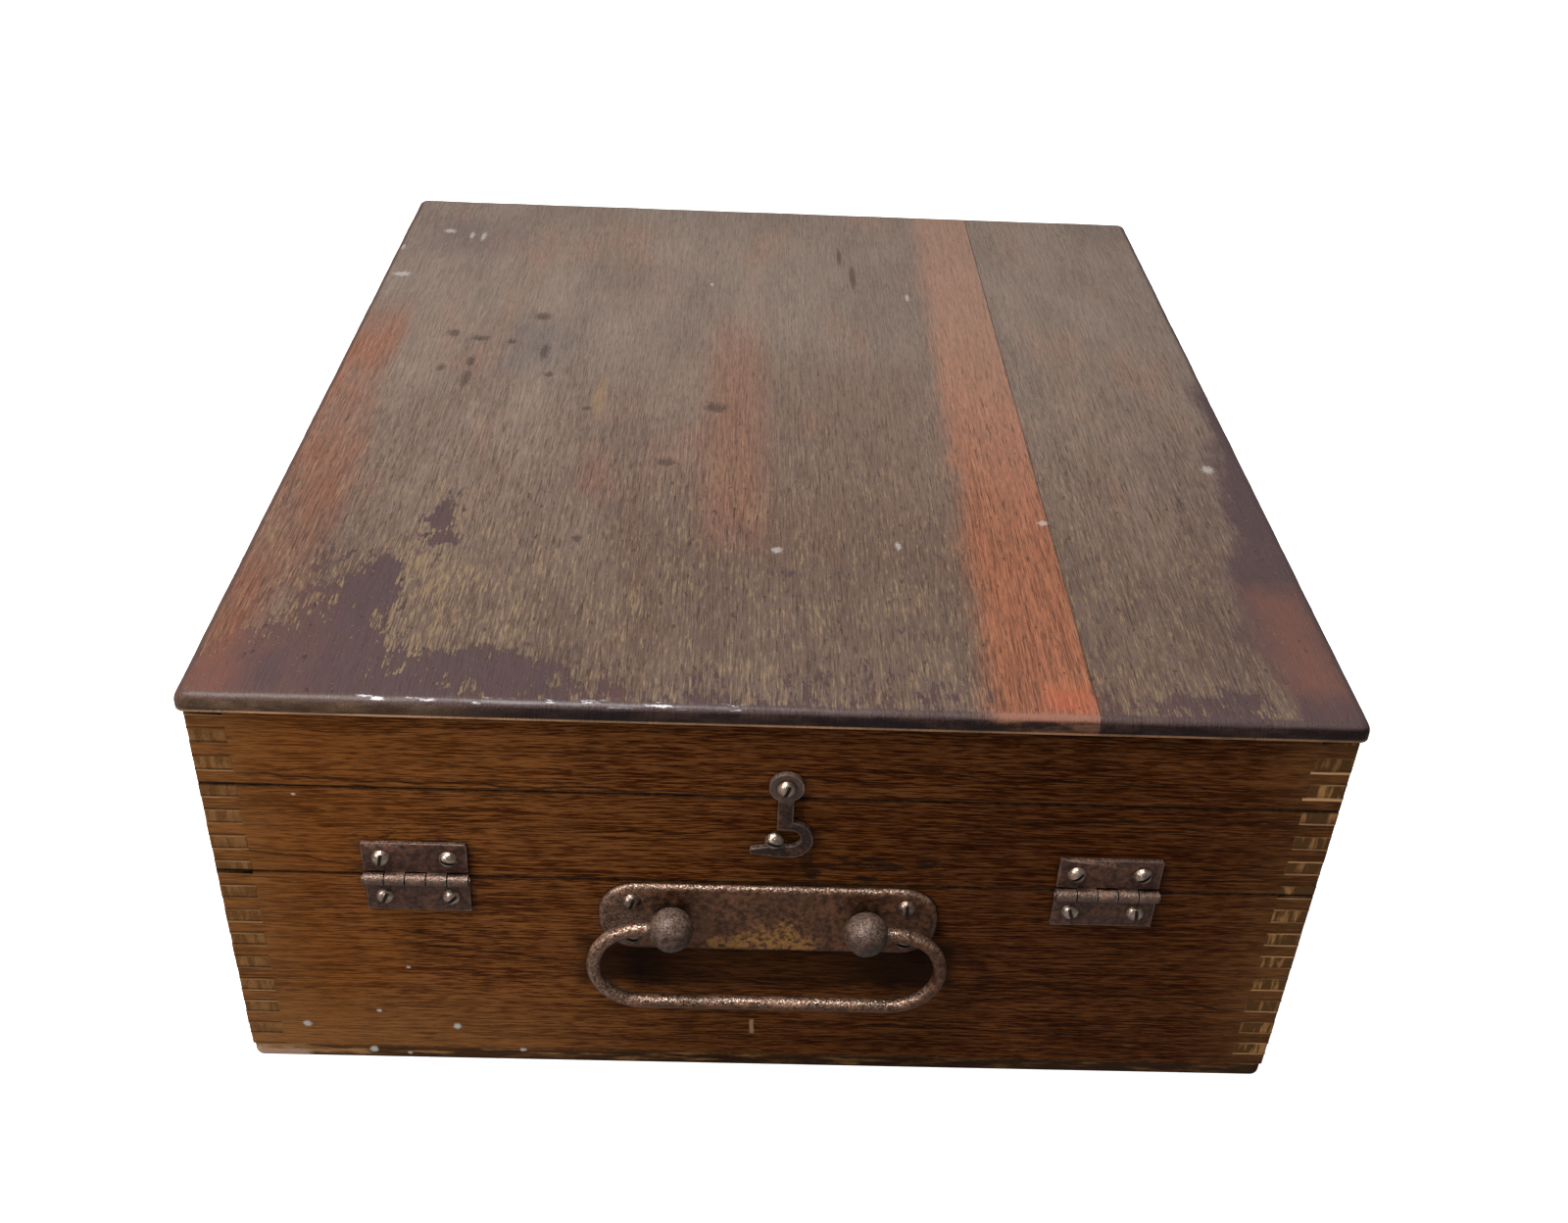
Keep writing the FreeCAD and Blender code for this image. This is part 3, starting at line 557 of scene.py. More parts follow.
def wall_finish(wood, axis):
    """Stained and worn wall boards whose grain runs along X or along Y."""
    material, tree, shader = new_finish("stained_wall_" + axis.lower())
    place = place_of(tree)
    x, y, z = split(tree, place)
    across, deep = absolute(tree, x), absolute(tree, y)
    grain = grain_of(tree, place, axis, 0.004)

    def field(scales, detail, roughness=0.5):
        return stretched(tree, place, scales, detail, roughness)

    shade = weighted(tree, (grain["Streaks"], 0.14), (grain["Lines"], 0.42), (grain["Fibre"], 0.44))
    shade = ranged(tree, shade, 0.24, 0.80)
    skin = mixed(tree, shade, wood.wall_dark, wood.wall_light)
    cloud = noise_field(tree, place, 17, 4, 0.6)
    warm = times(tree, ranged(tree, x, 0.0, -0.13), ranged(tree, cloud, 0.36, 0.66))
    skin = laid(tree, skin, wood.wall_warm, warm, 0.3)
    # Darker towards the right of the walls: partly a darker stain and partly painted shade for light that comes
    # from the left
    shade_and_stain_right = times(tree, ranged(tree, x, -0.10, 0.05), ranged(tree, cloud, 0.2, 0.7, 0.95, 0.6))
    skin = mixed(tree, shade_and_stain_right, skin, (0.38, 0.26, 0.09), "MULTIPLY")
    skin = laid(tree, skin, (0.105, 0.058, 0.026), shade_and_stain_right, ranged(tree, shade, 0.55, 1.0, 0.0, 0.3))
    # Paler towards the lower left of the walls
    paler_low_left = times(tree, ranged(tree, x, -0.02, -0.12), ranged(tree, z, 0.040, 0.008))
    skin = laid(tree, skin, wood.end_grain, paler_low_left, 0.22)
    skin = laid(tree, skin, PORE, grain["Pores"], 0.5)

    corner = times(
        tree, ranged(tree, across, INSIDE_X - 0.3 * MM, INSIDE_X + 0.3 * MM),
        ranged(tree, deep, INSIDE_Y - 0.3 * MM, INSIDE_Y + 0.3 * MM),
    )
    to_right = ranged(tree, x, -0.1, 0.1)
    ends = ranged(tree, facing(tree, axis), 0.6, 0.85)
    ticks = ranged(tree, minus(tree, field((620, 620, 100), 2), times(tree, to_right, 0.10)), 0.38, 0.6)
    dull_end = mixed(tree, to_right, scaled(wood.end_grain, 0.34), scaled(wood.end_grain, 0.26))
    pale_end = mixed(tree, to_right, scaled(wood.end_grain, 0.8), scaled(wood.end_grain, 1.25))
    end_tone = mixed(tree, ticks, dull_end, pale_end)
    aged = ranged(tree, field((60, 60, 210), 1), 0.4, 0.7, 0.0, 0.6)
    end_tone = mixed(tree, aged, end_tone, scaled(wood.end_grain, 0.25))
    edge_wear = times(tree, ranged(tree, across, 0.128, 0.157), ranged(tree, cloud, 0.3, 0.7, 0.06, 0.2))
    skin = mixed(tree, edge_wear, skin, wood.end_grain)
    skin = laid(tree, skin, end_tone, ends, ranged(tree, to_right, 0, 1, 0.6, 0.8))
    steps = maths(tree, "FRACT", plus(tree, times(tree, z, 1 / FINGER), 0.25))
    gap = absolute(tree, minus(tree, steps, 0.5))
    kept = ranged(tree, field((40, 40, 330), 2), 0.40, 0.64)
    glue = times(tree, corner, times(tree, ranged(tree, gap, 0.03, 0.08, 1, 0), kept))
    skin = laid(tree, skin, mixed(tree, to_right, scaled(wood.bare, 0.75), scaled(wood.bare, 1.2)), glue, 0.75)
    above = absolute(tree, minus(tree, steps, 0.61))
    shadow = times(tree, corner, ranged(tree, above, 0.03, 0.09, ranged(tree, to_right, 0, 1, 0.65, 0.3), 0))
    skin = mixed(tree, shadow, skin, (0.012, 0.006, 0.003))

    inside = times(
        tree, ranged(tree, across, INSIDE_X - 0.2 * MM, INSIDE_X + 0.2 * MM, 1, 0),
        ranged(tree, deep, INSIDE_Y - 0.2 * MM, INSIDE_Y + 0.2 * MM, 1, 0),
    )
    pale = mixed(tree, shade, scaled(wood.inside, 0.55), wood.inside)
    skin = mixed(tree, inside, skin, pale)

    # Painted shade: dark lines along the seams between the tiers, where the gaps are in shade
    seams = [absolute(tree, minus(tree, z, height)) for height in SEAMS]
    seam_shade = ranged(tree, maths(tree, "MINIMUM", *seams), 0.0003, 0.0009, 1, 0)
    skin = laid(tree, skin, (0.006, 0.003, 0.002), seam_shade, 0.85)
    marks = largest(tree, [stroke(tree, place, *mark) for mark in GRAIN_MARKS])
    skin = laid(tree, skin, PORE, marks, 0.75)
    rubbed_in = largest(tree, [patch(tree, place, low, high, 3, 8) for low, high in DARK_STAINS])
    rough = times(tree, ranged(tree, field((110, 110, 260), 4, 0.7), 0.5, 0.58), rubbed_in)
    skin = laid(tree, skin, (0.009, 0.006, 0.004), rough, 0.7)
    scrape = plus(tree, field((60, 60, 420), 4, 0.65), ranged(tree, x, -0.156, -0.122, 0.14, -0.03))
    scrape_tone = mixed(tree, to_right, wood.end_grain, scaled(wood.end_grain, 0.55))
    strip_tone = mixed(tree, ranged(tree, scrape, 0.45, 0.70), (0.022, 0.012, 0.006), scrape_tone)
    skin = laid(tree, skin, strip_tone, ranged(tree, z, BOTTOM_BOARD + 0.8 * MM, BOTTOM_BOARD - 0.8 * MM), 0.8)
    worn_corner = patch(tree, place, (-165, -195, -2), (-141, -170, 4.2), 1.5, 7)
    skin = laid(tree, skin, (0.42, 0.27, 0.19), worn_corner, 0.7)
    # Painted shadow on the wall under the handle plate and inside the bail, stronger towards its ends
    under = times(
        tree, patch(tree, place, (-55, -190, 36.5), (57, -180, 56), 4, 8),
        ranged(tree, across, 0.014, 0.034, 0.6, 0.9),
    )
    skin = mixed(tree, under, skin, (0.012, 0.004, 0.001))
    # Dirt with painted shade in the corners, joints and gaps of the walls
    shade_and_dirt = shade_and_dirt_in(tree, place, 0.0011)
    skin = laid(tree, skin, (0.007, 0.004, 0.003), shade_and_dirt, 0.75)
    rubbed = rubbed_edges(tree, place, 0.0007, 0.95)
    skin = laid(tree, skin, wood.end_grain, rubbed, 0.25)
    fresh = largest(tree, [patch(tree, place, low, high, 0.15, 0.35) for low, high in BARE_LINES])
    skin = mixed(tree, fresh, skin, wood.bare)
    specks = spots(tree, place, PAINT_SPECKS, 0.35, 0.9)
    skin = laid(tree, skin, (0.46, 0.44, 0.41), specks, 0.8)
    tick = patch(tree, place, (-4.2, -190, 15.5), (-3.0, -180, 21.5), 0.3, 1.0)
    skin = laid(tree, skin, (0.34, 0.22, 0.13), tick, 0.8)

    dull = larger(tree, plus(tree, 0.40, times(tree, grain["Lines"], 0.16)), times(tree, ends, 0.7))
    feed(tree, shader.inputs, Base_Color=skin, Roughness=dull, Specular_IOR_Level=0.03)
    relief = weighted(
        tree, (grain["Lines"], 0.4), (grain["Fibre"], 0.4), (grain["Pores"], -0.8), (rough, -1.5), (marks, -0.8)
    )
    bumped(tree, shader, relief, 0.00012)
    return material


# Marks on the top, in millimetres, as centre and radius
TOP_DENTS = (
    ((-112.5, 6), (1.6, 7)), ((-112.8, 20), (1.4, 4)), ((-91, 62), (3.2, 3.2)), ((-123, 44), (2.4, 3)),
    ((-112, 40), (3.5, 2.2)), ((-86.8, 30), (1.6, 7)), ((-100, 38), (1.8, 2)), ((-83, 11), (1.6, 2)),
    ((-21.5, -11), (4.2, 3.6)), ((-37, -52), (3.0, 2.6)), ((27.5, 134), (0.9, 9)), ((32.5, 112), (1.2, 11)),
    ((-67, -15), (1.6, 1.6)), ((-62, -102), (1.4, 1.6)), ((-123, 14), (1.5, 2.5)),
)
TOP_SCUFFS = (
    ((-141, 148), (2.2, 2.0)), ((-131, 144), (0.9, 3.4)), ((-126, 143), (0.9, 4.2)), ((-158, 128), (1.0, 2.4)),
    ((-153, 99), (3.0, 2.0)), ((-0.2, -106), (1.5, 1.5)), ((37.6, -101.5), (0.8, 2.0)),
    ((147, -46), (1.8, 2.4)), ((-26, 99), (0.6, 1.4)), ((54, 92), (0.7, 3.0)), ((85, -85), (1.6, 1.2)),
)


def top_finish(wood):
    """The top boards: dark varnish worn through to olive wood in flecks, with redder wood in bands."""
    material, tree, shader = new_finish("worn_top")
    place = place_of(tree)
    x, y, z = split(tree, place)
    grain = grain_of(tree, place, "Y", 0.002)

    def field(scales, detail, roughness=0.6):
        return stretched(tree, place, scales, detail, roughness)

    wander = vector_maths(tree, "MULTIPLY", drifting(tree, place, 70, 6, 0.65), (0.022, 0.030, 0.0))
    bent = vector_maths(tree, "ADD", place, wander)

    def round_about(across, along, wide, deep):
        return spots(tree, bent, [((across, along, 143), (wide, deep, 30))], 0.9, 0.0)

    drift = field((48, 13, 30), 5)
    flakes = field((75, 38, 50), 9, 0.7)
    flecks = field((1400, 200, 100), 3, 0.65)
    chipped = field((240, 120, 100), 7, 0.7)
    blush = field((34, 12, 20), 4)
    to_front = ranged(tree, y, 0.10, -0.15)

    fine = weighted(tree, (grain["Lines"], 0.5), (grain["Fibre"], 0.5))
    strength = ranged(tree, y, 0.13, -0.15, 0.85, 1.1)
    calm = plus(tree, 0.5, times(tree, minus(tree, fine, 0.5), strength))
    shade = weighted(tree, (calm, 0.74), (ranged(tree, drift, 0.32, 0.68), 0.26))
    skin = mixed(tree, shade, wood.top_dark, wood.top_light)
    skin = mixed(tree, ranged(tree, field((13, 13, 13), 4), 0.42, 0.7, 0.0, 0.22), skin, wood.varnish)
    red_grain = mixed(tree, calm, scaled(wood.top_red, 0.4), scaled(wood.top_red, 1.16))
    skin = mixed(tree, ranged(tree, blush, 0.5, 0.72, 0.0, 0.25), skin, red_grain)
    skin = mixed(tree, ranged(tree, y, -0.04, -0.15, 0.0, 0.5), skin, wood.top_dark)
    # Painted sheen: the top paler and greyer towards the back, for the glancing reflection of the surround
    skin = mixed(tree, ranged(tree, y, -0.10, 0.08, 0.0, 0.11), skin, (0.39, 0.34, 0.29))

    warm = patch(tree, place, (-26, -120, 100), (58, 30, 190), 26, 30)
    skin = laid(tree, skin, (0.085, 0.042, 0.028), warm, ranged(tree, drift, 0.35, 0.62, 0.15, 0.42))
    corner = patch(tree, place, (-150, 126, 100), (-118, 162, 190), 14, 24)
    skin = laid(tree, skin, (0.070, 0.050, 0.055), corner, 0.3)

    sway = times(tree, minus(tree, flakes, 0.5), 0.014)
    strip_x = plus(tree, minus(tree, x, times(tree, y, 0.016)), sway)
    strip = times(
        tree, ranged(tree, strip_x, 0.055, 0.066),
        ranged(tree, x, GLUE_LINE - 0.4 * MM, GLUE_LINE + 0.1 * MM, 1, 0),
    )
    middle = ranged(tree, absolute(tree, plus(tree, x, 0.014)), 0.003, 0.016, 0.3, 0)
    middle = times(tree, middle, ranged(tree, y, 0.09, 0.03))
    middle = times(tree, middle, ranged(tree, y, -0.12, -0.08))
    edge_x = plus(tree, x, times(tree, minus(tree, drift, 0.5), 0.035))
    left_band = times(tree, ranged(tree, edge_x, -0.136, -0.153), ranged(tree, y, 0.085, 0.04))
    left_band = times(tree, left_band, ranged(tree, blush, 0.35, 0.6, 0.35, 1.0))
    red = largest(
        tree, [times(tree, strip, ranged(tree, y, 0.17, -0.10, 0.4, 0.9)), middle, times(tree, left_band, 0.66)]
    )
    skin = mixed(tree, red, skin, red_grain)
    skin = laid(tree, skin, (0.40, 0.27, 0.20), strip, ranged(tree, y, -0.12, 0.02, 0.0, 0.18))
    skin = laid(tree, skin, (0.055, 0.026, 0.020), left_band, times(tree, to_front, 0.35))

    level = weighted(
        tree, (flakes, 0.75), (chipped, 0.55), (flecks, 0.34), (fine, 0.05),
        (ranged(tree, y, -0.156, -0.184), -0.15),
        (round_about(-124, -174, 38, 18), -0.24), (round_about(-132, -146, 18, 28), -0.18),
        (round_about(-117, -136, 8, 20), -0.24), (round_about(-104.5, -101, 6, 22), -0.26),
        (round_about(-100, -140, 14, 24), 0.10), (round_about(-76, -168, 12, 10), -0.12),
    )
    right_edge = ranged(tree, y, 0.01, -0.15, 0.152, 0.138)
    right_edge = plus(tree, right_edge, times(tree, minus(tree, flakes, 0.5), 0.03))
    right_band = times(
        tree, ranged(tree, minus(tree, x, right_edge), -0.003, 0.005), ranged(tree, y, 0.03, 0.005)
    )
    whole = times(tree, ranged(tree, level, 0.71, 0.65), ranged(tree, y, -0.05, -0.075))
    whole = times(tree, whole, ranged(tree, strip, 0.2, 0.9, 1, 0.2))
    whole = larger(tree, whole, right_band)
    bald = weighted(
        tree, (flecks, 1.0), (fine, 0.15), (flakes, 0.5), (to_front, 0.10),
        (round_about(-100, -138, 22, 32), 0.09),
    )
    bald = times(tree, ranged(tree, bald, 0.94, 1.13), minus(tree, 1.0, whole))
    bald = times(tree, bald, ranged(tree, larger(tree, strip, left_band), 0.2, 0.9, 1, 0.4))
    olive = mixed(tree, fine, scaled(wood.worn, 0.8), scaled(wood.worn, 1.2))
    skin = laid(tree, skin, olive, bald, ranged(tree, y, 0.1, -0.12, 0.3, 0.66))
    dashes = times(tree, grain["Pores"], ranged(tree, y, 0.1, -0.1, 0.2, 0.65))
    skin = mixed(tree, dashes, skin, (0.035, 0.022, 0.018))
    film = mixed(tree, times(tree, left_band, 0.8), wood.varnish, scaled(wood.top_red, 0.7))
    film = mixed(tree, ranged(tree, blush, 0.45, 0.65, 0.0, 0.5), film, (0.085, 0.040, 0.034))
    right_red = patch(tree, place, (140, -172, 130), (158, -122, 150), 10, 16)
    film = laid(tree, film, wood.top_red, right_red, 0.35)
    film = laid(tree, film, scaled(wood.varnish, 1.35), fine, 0.4)
    skin = laid(tree, skin, film, whole, 0.9)
    bright = patch(tree, place, (74, -183, 130), (85, -173, 150), 4, 14)
    skin = laid(tree, skin, (0.36, 0.08, 0.045), bright, 0.4)

    stain = spots(tree, place, [((-92, 34, 143), (12, 20, 9))], 0.9, 0.9)
    skin = laid(tree, skin, (0.065, 0.072, 0.080), stain, 0.3)
    gold = spots(tree, place, [((-63, -6, 143), (2.5, 14, 9))], 0.6, 0.8)
    skin = laid(tree, skin, (0.25, 0.15, 0.06), gold, 0.3)
    dents = spots(tree, place, [((*c, 143), (*r, 9)) for c, r in TOP_DENTS], 0.5, 2.2)
    skin = laid(tree, skin, (0.030, 0.020, 0.016), dents, 0.6)
    pits = ranged(tree, field((420, 200, 300), 2, 0.5), 0.67, 0.73)
    skin = laid(tree, skin, (0.026, 0.017, 0.014), pits, times(tree, to_front, 0.6))
    glue = patch(tree, place, (86.5, -200, 130), (86.95, 200, 150), 0.15, 0.3)
    skin = laid(tree, skin, (0.03, 0.018, 0.012), glue, 0.5)
    scuffs = spots(tree, place, [((*c, 143), (*r, 9)) for c, r in TOP_SCUFFS], 0.5, 2.6)
    skin = laid(tree, skin, (0.42, 0.39, 0.36), scuffs, 0.5)
    dust = ranged(tree, noise_field(tree, place, 1300, 2), 0.66, 0.74)
    skin = laid(tree, skin, (0.28, 0.24, 0.18), dust, 0.2)

    upright = split(tree, add(tree, "ShaderNodeTexCoord", out="Normal"))[2]
    rim = largest(
        tree,
        [ranged(tree, absolute(tree, v), high - 0.006, high - 0.0035) for v, high in ((x, TOP_X), (y, TOP_Y))],
    )
    nose = times(tree, ranged(tree, upright, 0.997, 0.93), rim)
    nose_tone = mixed(
        tree, strip, mixed(tree, ranged(tree, x, -0.06, -0.13), (0.053, 0.031, 0.029), (0.066, 0.034, 0.024)),
        (0.20, 0.085, 0.055),
    )
    skin = laid(tree, skin, nose_tone, nose, 0.85)
    # Painted highlight: whitish glints, made as small chips, in the band of the nose where the upper light is
    # reflected
    chips = times(
        tree, ranged(tree, field((120, 700, 700), 4, 0.65), 0.58, 0.64),
        patch(tree, place, (-112, -190, 140), (-6, -182.5, 145), 0.8, 3),
    )
    chips = times(
        tree, chips, times(tree, ranged(tree, upright, 0.99, 0.96), ranged(tree, upright, 0.66, 0.78))
    )
    skin = laid(tree, skin, (0.60, 0.58, 0.60), chips, 0.8)
    side = ranged(tree, upright, 0.72, 0.45)
    mottled = ranged(tree, field((90, 90, 260), 5, 0.65), 0.40, 0.66)
    left_end = ranged(tree, plus(tree, x, times(tree, mottled, 0.02)), -0.06, -0.09)
    dark_side = mixed(tree, left_end, (0.007, 0.003, 0.003), (0.038, 0.020, 0.011))
    pale_side = mixed(
        tree, strip, mixed(tree, left_end, (0.030, 0.014, 0.010), (0.10, 0.058, 0.034)), (0.12, 0.055, 0.03)
    )
    skin = laid(tree, skin, mixed(tree, mottled, dark_side, pale_side), side, 0.95)
    # Painted highlight: a pale line along the lower edge of the top's side, for the lit top edge of the wall
    # below
    arris_highlight = times(
        tree, ranged(tree, z, 0.1390, 0.1385), ranged(tree, field((50, 50, 20), 3), 0.35, 0.6, 0.55, 1.0)
    )
    skin = mixed(
        tree, arris_highlight, skin, mixed(tree, ranged(tree, x, -0.12, 0.12), (0.48, 0.25, 0.12), (0.30, 0.15, 0.07))
    )
    below = ranged(tree, upright, -0.4, -0.8)
    plain = mixed(
        tree, weighted(tree, (grain["Streaks"], 0.6), (fine, 0.4)), scaled(wood.inside, 0.5), wood.inside
    )
    # Dirt with painted shade in the corners under the top
    shade_and_dirt = shade_and_dirt_in(tree, place, 0.006)
    plain = laid(tree, plain, WOOD_DIRT_AND_SHADE, shade_and_dirt, 0.6)
    skin = mixed(tree, below, skin, plain)

    dull = weighted(
        tree, (0.44, 1.0), (bald, 0.16), (whole, -0.08), (fine, 0.08), (dents, 0.2), (nose, -0.02),
        (side, -0.06),
    )
    gloss = times(tree, nose, ranged(tree, upright, 0.62, 0.85, 0.0, 0.34))
    gloss = times(tree, gloss, ranged(tree, left_end, 0, 1, 1, 0.4))
    feed(tree, shader.inputs, Base_Color=skin, Roughness=dull, Specular_IOR_Level=0.16)
    feed(tree, shader.inputs, Coat_Weight=gloss, Coat_Roughness=0.28)
    relief = weighted(
        tree, (fine, 0.5), (whole, 0.7), (bald, -0.4), (pits, -0.6), (grain["Pores"], -0.4), (flakes, 0.6)
    )
    bumped(tree, shader, relief, 0.00016)
    return material


def plain_wood_finish(wood, name, axis, warmth):
    """Unstained boards inside the case and under it."""
    material, tree, shader = new_finish(name)
    place = place_of(tree)
    grain = grain_of(tree, place, axis, 0.006)
    shade = plus(tree, times(tree, grain["Streaks"], 0.6), times(tree, grain["Lines"], 0.4))
    skin = mixed(tree, shade, scaled(wood.inside, 0.6 * warmth), scaled(wood.inside, warmth))
    skin = laid(tree, skin, (0.05, 0.025, 0.012), grain["Pores"], 0.4)
    ends = ranged(tree, facing(tree, axis), 0.6, 0.85)
    skin = laid(tree, skin, scaled(wood.inside, 0.4), ends, 0.4)
    # Dirt with painted shade in the corners of the inside boards
    shade_and_dirt = shade_and_dirt_in(tree, place, 0.006)
    skin = laid(tree, skin, WOOD_DIRT_AND_SHADE, shade_and_dirt, 0.6)
    rubbed = rubbed_edges(tree, place, 0.0012, 0.8)
    skin = laid(tree, skin, wood.bare, rubbed, 0.5)
    dull = plus(tree, 0.55, times(tree, grain["Fibre"], 0.2))
    feed(tree, shader.inputs, Base_Color=skin, Roughness=dull)
    bumped(tree, shader, minus(tree, grain["Lines"], grain["Pores"]), 0.00012)
    return material


# Balls of the handle, eyes of the hooks and old brassing on the plate, in millimetres, as centre and radius
BALLS = (((-28.2, -193, 67.5), (7.3, 7.3, 7.3)), ((28.2, -193, 67.5), (7.3, 7.3, 7.3)))
HOOK_EYES = (((3.3, -186.6, 116.6), (5.5, 6, 5.5)), ((-3.3, 186.6, 84.3), (5.5, 6, 5.5)))
BRASS_SPOTS = (
    ((-14, -187, 56), (4, 5, 3)), ((-8, -187, 57), (5, 5, 4)), ((-1, -187, 58), (5, 5, 5)),
    ((5, -187, 59.5), (4, 5, 6)), ((10, -187, 56), (4, 5, 4)),
)


def iron_finish(iron, name, skin_tone, rust_amount, scale, shine, kind):
    """Old iron: dark skin, rust blotches, pits, edges rubbed bright, painted glints on upward faces, and dirty
    hollows with painted shade.
    """
    material, tree, shader = new_finish(name)
    place = place_of(tree)
    x, y = split(tree, place)[:2]
    rust = use(tree, shared("rust"), Vector=place, Scale=scale, Amount=rust_amount)
    mottle = ranged(tree, rust["Mottle"], 0.3, 0.7)
    speckle = noise_field(tree, place, 1700, 3, 0.6)
    skin = mixed(tree, mottle, scaled(skin_tone, 0.5), [min(1, c * 1.45) for c in skin_tone])
    worn_rust = mixed(tree, mottle, scaled(iron.rust, 0.6), iron.rust)
    skin = laid(tree, skin, worn_rust, rust["Blotches"], 0.55)
    bare = minus(tree, 1.0, times(tree, rust["Blotches"], 0.6))
    if kind == "handle":
        balls = spots(tree, place, BALLS, 0.04, 0.0)
        skin = laid(tree, skin, mixed(tree, mottle, (0.018, 0.010, 0.007), (0.085, 0.051, 0.038)), balls, 0.85)
        wash = times(tree, spots(tree, place, BRASS_SPOTS, 0.6, 2.4), ranged(tree, y, -0.1888, -0.1882))
        wash = times(tree, wash, ranged(tree, rust["Mottle"], 0.34, 0.58))
        skin = laid(tree, skin, iron.brassy, wash, 0.85)
        coated = times(tree, larger(tree, wash, balls), 0.75)
        bare = times(tree, bare, minus(tree, 1.0, coated))
    if kind == "hook":
        eyes = spots(tree, place, HOOK_EYES, 0.25, 0.0)
        skin = laid(tree, skin, iron.knuckle, eyes, 0.45)
    if kind == "hinge":
        # Lighter barrels: partly lighter iron and partly a painted highlight for the light from above
        barrel = ranged(tree, absolute(tree, y), 0.1870, 0.1876)
        skin = laid(tree, skin, iron.knuckle, barrel, 0.4)
        # Painted shade: dark lines in the gaps between the knuckles of each hinge
        leaves = [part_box(f"front_hinge_{side}_lower_leaf") for side in ("left", "right")]
        left, right = ((low.x + high.x) / 2 for low, high in leaves)
        along = minus(tree, x, plus(tree, times(tree, maths(tree, "GREATER_THAN", x, 0.0), right - left), left))
        steps = maths(tree, "FRACT", plus(tree, times(tree, along, 1 / KNUCKLE), 8))
        knuckle_gap_shade = ranged(tree, absolute(tree, minus(tree, steps, 0.5)), 0.03, 0.09, 1, 0)
        knuckle_gap_shade = times(tree, barrel, knuckle_gap_shade)
        skin = laid(tree, skin, (0.004, 0.003, 0.003), knuckle_gap_shade, 0.9)
    skin = laid(tree, skin, scaled(skin_tone, 0.3), rust["Pits"], 0.25)
    # Dirt with painted shade in hollows and gaps, such as between the barrels and the leaves
    shade_and_dirt = shade_and_dirt_in(tree, place, 0.0018)
    skin = laid(tree, skin, (0.006, 0.004, 0.003), shade_and_dirt, 0.8)
    rubbed = rubbed_edges(tree, place, 0.0008, 0.6)
    # Painted highlight: speckled glints on upward faces, weaker off the handle, and on the handle also along
    # the left end of the plate
    upward = split(tree, add(tree, "ShaderNodeTexCoord", out="Normal"))[2]
    glint = times(tree, ranged(tree, upward, 0.15, 0.80), ranged(tree, speckle, 0.44, 0.60))
    if kind != "handle":
        glint = times(tree, glint, 0.35)
    else:
        glint = times(tree, glint, ranged(tree, balls, 0, 1, 1, 0.25))
        left_end = times(tree, ranged(tree, x, -0.030, -0.048, 0.0, 0.45), ranged(tree, speckle, 0.42, 0.62))
        glint = larger(tree, glint, left_end)
    # Edges rubbed bright, joined with the painted glints, all laid in the rubbed-metal colour
    rubbed = larger(tree, times(tree, rubbed, 0.6), glint)
    skin = laid(tree, skin, iron.rubbed, rubbed, 0.6)
    metal = larger(tree, times(tree, bare, shine), times(tree, rubbed, 0.95))
    dull = weighted(tree, (0.34, 1.0), (rust["Blotches"], 0.16), (mottle, 0.08), (rubbed, -0.06))
    feed(tree, shader.inputs, Base_Color=skin, Metallic=metal, Roughness=dull, Specular_IOR_Level=0.25)
    relief = weighted(tree, (rust["Mottle"], 0.8), (speckle, 0.55), (rust["Pits"], -0.4))
    bumped(tree, shader, relief, 0.00022)
    return material


def screw_finish(iron):
    """Round screw heads: worn steel, dirty in the slots and with painted shade there."""
    material, tree, shader = new_finish("worn_screw_steel")
    place = place_of(tree)
    rust = use(tree, shared("rust"), Vector=place, Scale=240, Amount=0.45)
    skin = mixed(tree, ranged(tree, rust["Mottle"], 0.34, 0.66), scaled(iron.screw, 0.5), iron.screw)
    skin = laid(tree, skin, iron.rust, rust["Blotches"], 0.5)
    on_plate = patch(tree, place, (-52, -195, 52), (52, -180, 80), 1, 0)
    skin = laid(tree, skin, (0.10, 0.06, 0.045), on_plate, 0.6)
    # Painted shade on the floor and walls of the slots, joined with dirty corners and their painted shade from
    # ambient occlusion
    outward = facing(tree, "Y")
    slot_shade = larger(tree, ranged(tree, outward, 0.996, 0.999), ranged(tree, outward, 0.10, 0.05))
    shade_and_dirt = larger(tree, shade_and_dirt_in(tree, place, 0.0012), slot_shade)
    skin = laid(tree, skin, (0.004, 0.003, 0.002), shade_and_dirt, 0.97)
    metal = weighted(tree, (0.95, 1.0), (shade_and_dirt, -0.7), (rust["Blotches"], -0.3))
    dull = weighted(tree, (0.22, 1.0), (rust["Mottle"], 0.16), (shade_and_dirt, 0.3))
    feed(tree, shader.inputs, Base_Color=skin, Metallic=metal, Roughness=dull)
    bumped(tree, shader, minus(tree, rust["Mottle"], times(tree, rust["Pits"], 0.4)), 0.0001)
    return material


